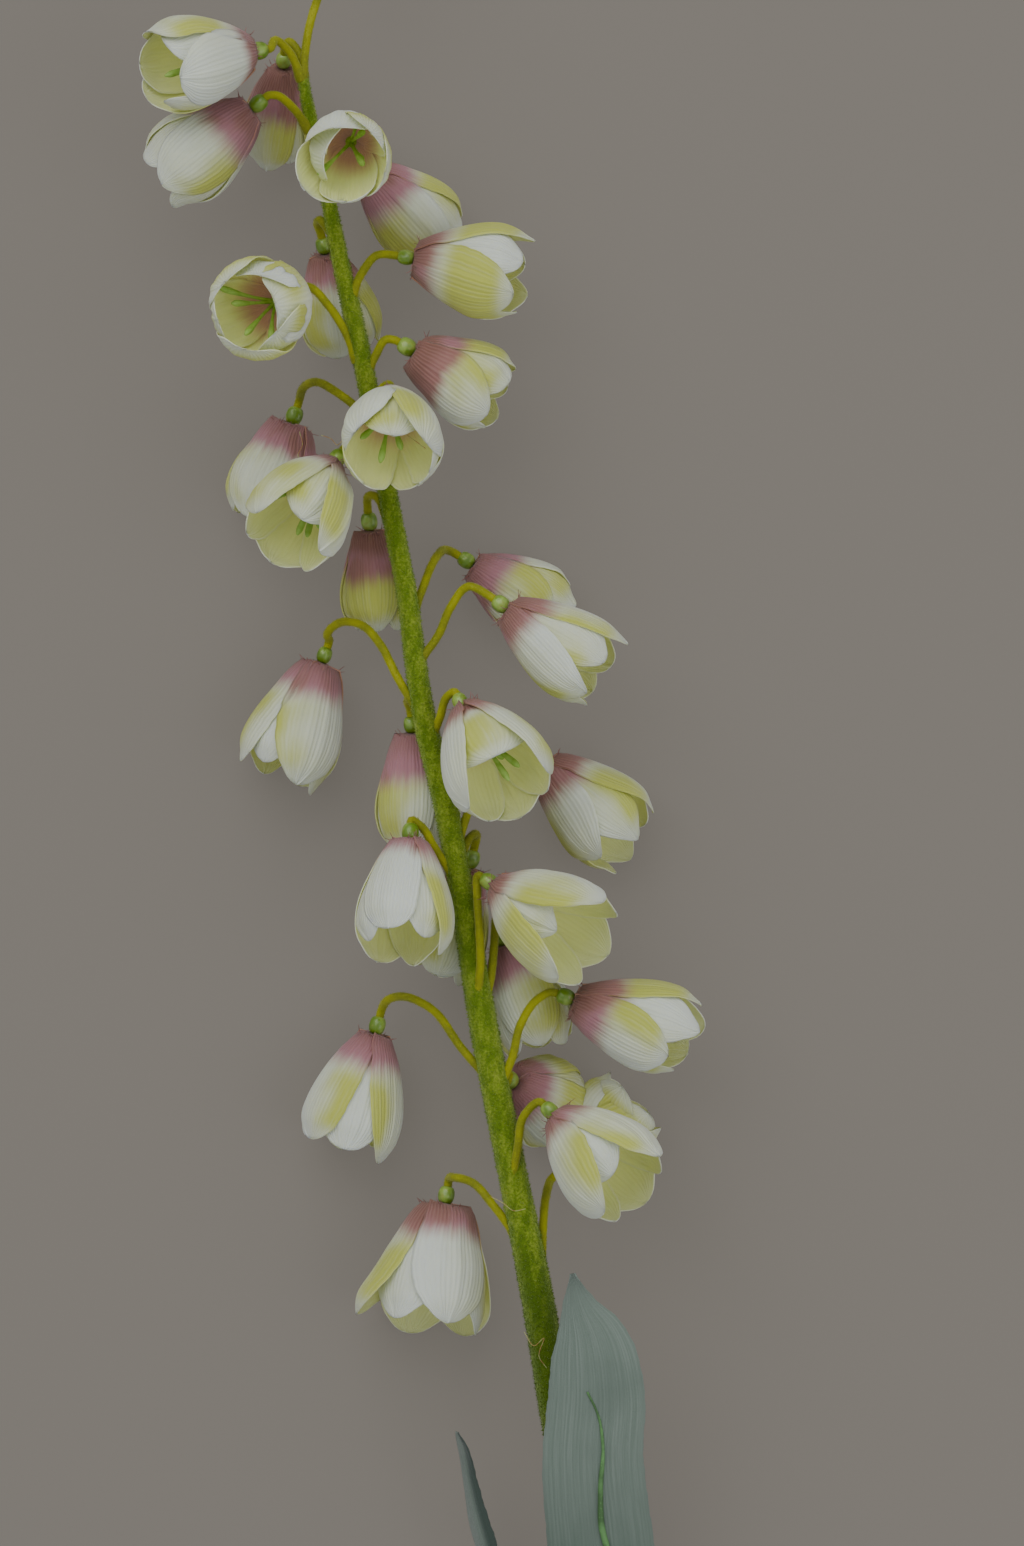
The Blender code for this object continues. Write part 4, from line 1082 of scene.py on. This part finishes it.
# Leaves: grey-green cloth with pressed veins, bowed along their line, and a wire rib on the large one
Row = namedtuple("Row", "centre half turn bow")
leafLarge = (
    Row((38, -352, 21.8), 6, 0, 3), Row((36.5, -340, 26.5), 11, 0, 5.5),
    Row((35.5, -318, 33.5), 15.5, 0, 4.5), Row((33, -288, 43), 17.8, 0, 4),
    Row((29.5, -257, 51), 17.5, 0, 3.5), Row((27, -227, 57), 16.6, 0, 3),
    Row((28, -205, 61), 16, 0, 2.5), Row((26, -188, 63.5), 12.5, 0, 2),
    Row((22, -175.7, 65), 5.6, 0, 1.5), Row((20.7, -169.5, 65.6), 2.3, 0, 0.7),
    Row((20, -165.5, 66), 0.5, 0, 0),
)
leafSmall = (
    Row((33.5, -362, 16.5), 4.5, -60, 2), Row((26.5, -352, 19), 6.5, -62, 3),
    Row((15, -330, 21), 8, -64, 3), Row((3, -300, 22.5), 8.5, -66, 3),
    Row((-6.5, -273, 24), 8, -66, 2.8), Row((-12.5, -252, 25.5), 7, -66, 2.3),
    Row((-15.6, -236, 27), 5.6, -66, 1.5), Row((-17.2, -225, 28.7), 4.6, -66, 0.5),
    Row((-18.3, -220.6, 29.1), 2.2, -66, 0),
)
leaf = {
    "columns": 44,
    "rows": 110,
    "cloth": 0.45,
    "veinHeight": 0.16,
    "veins": 15,
    "wave": 0.9,
    "waves": (2.2, 5.3),                 # along each margin
    "fray": 0.22,
    "green": (0.150, 0.195, 0.160),
    "greenPale": (0.215, 0.26, 0.225),
    "greenDeep": (0.085, 0.120, 0.095),
    # colour of the painted shade along one margin
    "greenPaintedShade": (0.030, 0.050, 0.040),
    "threads": 2600.0,
}
midrib = {
    "sides": 12,
    "lumpHeight": 0.5,
    "lumpScale": 240.0,
    "seed": 9,
    "radius": 1.05,
    "from": 0.06,                        # along the large leaf, from the foot
    "to": 0.79,
    "steps": 90,
    "shifts": ((0.0, 0.0), (0.3, 1.0), (0.45, 2.4), (0.512, 2.0), (0.55, 1.0), (0.61, 1.7), (0.70, 3.0),
               (0.745, 1.0), (0.785, -2.6)),
    "green": (0.115, 0.26, 0.085),
}


def leafSurface(rows, along, across):    # the blade's place, the way it faces, and its half width
    centres = np.array([placed(row.centre) for row in rows])
    lengths = np.linalg.norm(np.diff(centres, axis=0), axis=1)
    knots = np.concatenate([[0.0], np.cumsum(lengths)]) / lengths.sum()
    line = through(along[:, 0], knots, centres)
    half = through(along[:, 0], knots, [row.half for row in rows])[:, None]
    bow = through(along[:, 0], knots, [row.bow for row in rows])[:, None]
    turn = through(along[:, 0], knots, [row.turn for row in rows])
    direction = np.gradient(line, axis=0)
    direction /= np.linalg.norm(direction, axis=1, keepdims=True)
    face = np.array([(Matrix.Rotation(math.radians(a), 3, Vector(d))
                      @ (Vector((0, 0, 1)) - Vector(d) * d[2]).normalized())
                     for a, d in zip(turn, direction)])
    side = np.cross(direction, face)
    place = (line[:, None] + side[:, None] * (across * half)[..., None]
             - face[:, None] * (bow * across**2)[..., None])
    outward = np.broadcast_to(face[:, None], place.shape)
    return place, outward, half


def makeLeaf(name, node, rows, finish, seed, sideShade):        # the last number: how dark the painted shade along one margin is
    draw = np.random.default_rng(seed)
    t = np.linspace(0, 1, leaf["rows"])[:, None]
    along = (t + 0.35 * (t**2 - t**3)) * np.ones((1, leaf["columns"] + 1))
    across = np.linspace(-1, 1, leaf["columns"] + 1)[None, :] * np.ones((leaf["rows"], 1))
    place, outward, half = leafSurface(rows, along, across)
    normal = skins(place, outward, 0.0)[2]
    veins = np.abs(np.sin(math.pi * leaf["veins"] * across / 2)) ** 0.6
    inside = 1 - smoothStep(np.abs(across), 0.9, 1.0)
    move = leaf["veinHeight"] * veins * inside * smoothStep(1 - along, 0.0, 0.15)
    for sign in (-1, 1):
        margin = np.clip(sign * across, 0, 1) ** 2
        for waves in leaf["waves"]:
            wave = np.sin(math.tau * waves * along + draw.uniform(0, 6)) * smoothStep(along, 0.08, 0.25)
            move = move + leaf["wave"] / waves * 1.6 * margin * wave
    fringe = leaf["fray"] * np.sin(along * 190 + draw.uniform(0, 6)) * np.sin(along * 71) * np.sign(across)
    sideways = np.gradient(place, axis=1)
    sideways /= np.linalg.norm(sideways, axis=2, keepdims=True)
    place = place + normal * move[..., None] + sideways * (fringe * np.abs(across) ** 12)[..., None]
    front, back, normal = skins(place, outward, leaf["cloth"])
    points, faces = closedSheet(front, back, 0)
    numbers = skinNumbers(along, across)
    # painted shade along one margin, where a curled edge would lie in shadow
    numbers["fold"] = np.tile(sideShade * smoothStep(across.ravel(), 0.3, 0.75), 2)
    made = linked(name, clothMesh(name, points, faces, numbers))
    made.data.materials.append(finish)
    settle(made, "leaf_cloth", node)


def makeLeafCloth():
    cloth = Finish("leafCloth", {"Specular IOR Level": 0.3, "Sheen Weight": 0.25, "Sheen Roughness": 0.4})
    along, across, inside = cloth.number("along"), cloth.number("across"), cloth.number("inside")
    place = cloth.place()
    streak = cloth.noise(cloth.join(across * 22.0, along * 5.0, inside * 4.0), 1.0, 4.0, 0.65)
    cloud = cloth.noise(place, 28.0)
    vein = cloth.wave(across * 0.5, leaf["veins"] * 2.0)
    thread = cloth.noise(place, leaf["threads"], 1.0)
    colour = cloth.tinged(leaf["green"], streak, 0.35, 0.7, 0.75, leaf["greenPale"])
    colour = cloth.tinged(colour, cloud, 0.52, 0.75, 0.4, leaf["greenDeep"])
    colour = cloth.blend(vein * 0.14, colour, leaf["greenDeep"])
    colour = cloth.tinged(colour, cloth.maths("ABSOLUTE", across), 0.95, 1.0, 0.5, leaf["greenPale"])
    foot = 1.0 - cloth.smooth(along, 0.35, 0.8)
    colour = cloth.blend(cloth.maths("MAXIMUM", inside * 0.25, foot * 0.6), colour, leaf["greenDeep"])
    # painted shade along one margin of the small leaf
    colour = cloth.blend(cloth.number("fold") * 0.85, colour, leaf["greenPaintedShade"])
    height = thread * 0.6 + streak * 0.7 + vein * 0.3
    return cloth.feed(colour=colour, rough=0.62 + thread * 0.2, normal=cloth.bump(height, 0.25))


def makeRibGreen():
    wire = Finish("ribGreen", {"Specular IOR Level": 0.35})
    place = wire.place()
    fine = wire.noise(place, 1400.0)
    dark, green, light = (tuple(c * share for c in midrib["green"]) for share in (0.5, 1.0, 1.6))
    colour = wire.mottled(wire.noise(place, 120.0, 3.0), 0.1, dark, green)
    colour = wire.tinged(colour, fine, 0.55, 0.8, 0.6, light)
    return wire.feed(colour=colour, rough=0.5 + fine * 0.2, normal=wire.bump(fine, 0.15))


def makeMidrib(rows, finish):
    along = np.linspace(midrib["from"], midrib["to"], midrib["steps"])[:, None] * np.ones((1, 2))
    knots, shifts = zip(*midrib["shifts"])
    half = leafSurface(rows, along, np.zeros_like(along))[2]
    place, outward, half = leafSurface(rows, along, through(along, knots, shifts) / half)
    along = along[:, 0]
    taper = np.minimum(smoothStep(along, midrib["from"], midrib["from"] + 0.04),
                       1 - smoothStep(along, midrib["to"] - 0.25, midrib["to"]))
    radius = midrib["radius"] * (0.3 + 0.7 * taper)
    path = np.column_stack([place[:, 0] + outward[:, 0] * (radius * 0.55 + 0.25)[:, None], radius])
    settle(swept("leafMidrib", [path], midrib, finish), "midrib_green")


leafCloth = makeLeafCloth()
makeLeaf("leafClothLarge", "leaf_large", leafLarge, leafCloth, 41, 0.0)
makeLeaf("leafClothSmall", "leaf_small", leafSmall, leafCloth, 43, 1.0)
makeMidrib(leafLarge, makeRibGreen())


# Loose threads that the cloth and the glue have left
thin = {"sides": 5, "lumpHeight": 0.05, "lumpScale": 900.0}
thread = {
    **thin,
    "seed": 21,
    "radius": 0.13,
    "step": 0.5,
    "pale": (0.42, 0.44, 0.16),
    "rust": (0.40, 0.20, 0.06),
}
fray = {
    **thin,
    "seed": 23,
    "placeSeed": 29,
    "count": 15,                         # round each collar
    "length": 2.7,
    "radius": 0.16,
    "step": 0.8,
}
threadLines = (
    ((-7, -141, 47), (-3, -143, 49.4), (0.5, -145.5, 49.6), (4.5, -145, 48)),
    ((4, -186, 46.8), (7.5, -190.5, 48.3), (10.5, -188, 48.4), (9, -194, 48),
     (11.5, -198, 46.5)),
    ((-71, 114, 34.5), (-70, 109.5, 35.5), (-71.5, 106, 35.2), (-69.5, 103, 35.8)),
    ((-63.5, 112.5, 44), (-60, 111, 48.5), (-58, 109, 50.8), (-56.5, 110.5, 49)),
    ((-36, 112.5, 74), (-32, 109.5, 76.5), (-28.5, 107, 75)),
)


def makeFibre(name, constants, grainScale, spread, first, second, rough):
    fibre = Finish(name, constants)
    grain = fibre.noise(fibre.place(), grainScale)
    return fibre.feed(colour=fibre.mottled(grain, spread, first, second), rough=rough + grain * 0.2)


def makeThreads():
    finish = makeFibre("looseThread", {"Specular IOR Level": 0.3, "Sheen Weight": 0.2}, 600.0, 0.1,
                       thread["pale"], thread["rust"], 0.6)
    paths = []
    for points in threadLines:
        path = lineThrough([placed(point) for point in points], thread["step"])
        paths.append(np.column_stack([path, np.full(len(path), thread["radius"])]))
    settle(swept("looseThreads", paths, thread, finish), "petal_cloth")


def makeFrays():                         # short ends of cloth that stand round each collar
    finish = makeFibre("frayedCloth", {"Specular IOR Level": 0.2, "Sheen Weight": 0.3}, 500.0, 0.15,
                       petalPrint["mauveDark"], petalPrint["mauve"], 0.7)
    draw = np.random.default_rng(fray["placeSeed"])
    paths = []
    for bell in bells[:-1]:
        neck, axis, upper, side = bellFrame(bell)
        rim = collars.get(bell.node, petal["collar"]) * bell.belly - 0.1
        for k in range(fray["count"]):
            out, beside = spoke(upper, side, draw.uniform(0, math.tau))
            root = neck + axis * draw.uniform(0.5, 1.3) + out * rim
            way = out * draw.uniform(0.2, 1.0) - axis * draw.uniform(0.0, 0.9) + beside * varied(draw, 0.9)
            way = way * fray["length"] * draw.uniform(0.4, 1.2) / 2
            end = root + way * 2 + beside * varied(draw, 0.6)
            path = lineThrough([root, root + way, end], fray["step"])
            paths.append(np.column_stack([path, np.linspace(1.0, 0.4, len(path)) * fray["radius"]]))
    settle(swept("collarFrays", paths, fray, finish), "petal_cloth")


makeThreads()
makeFrays()
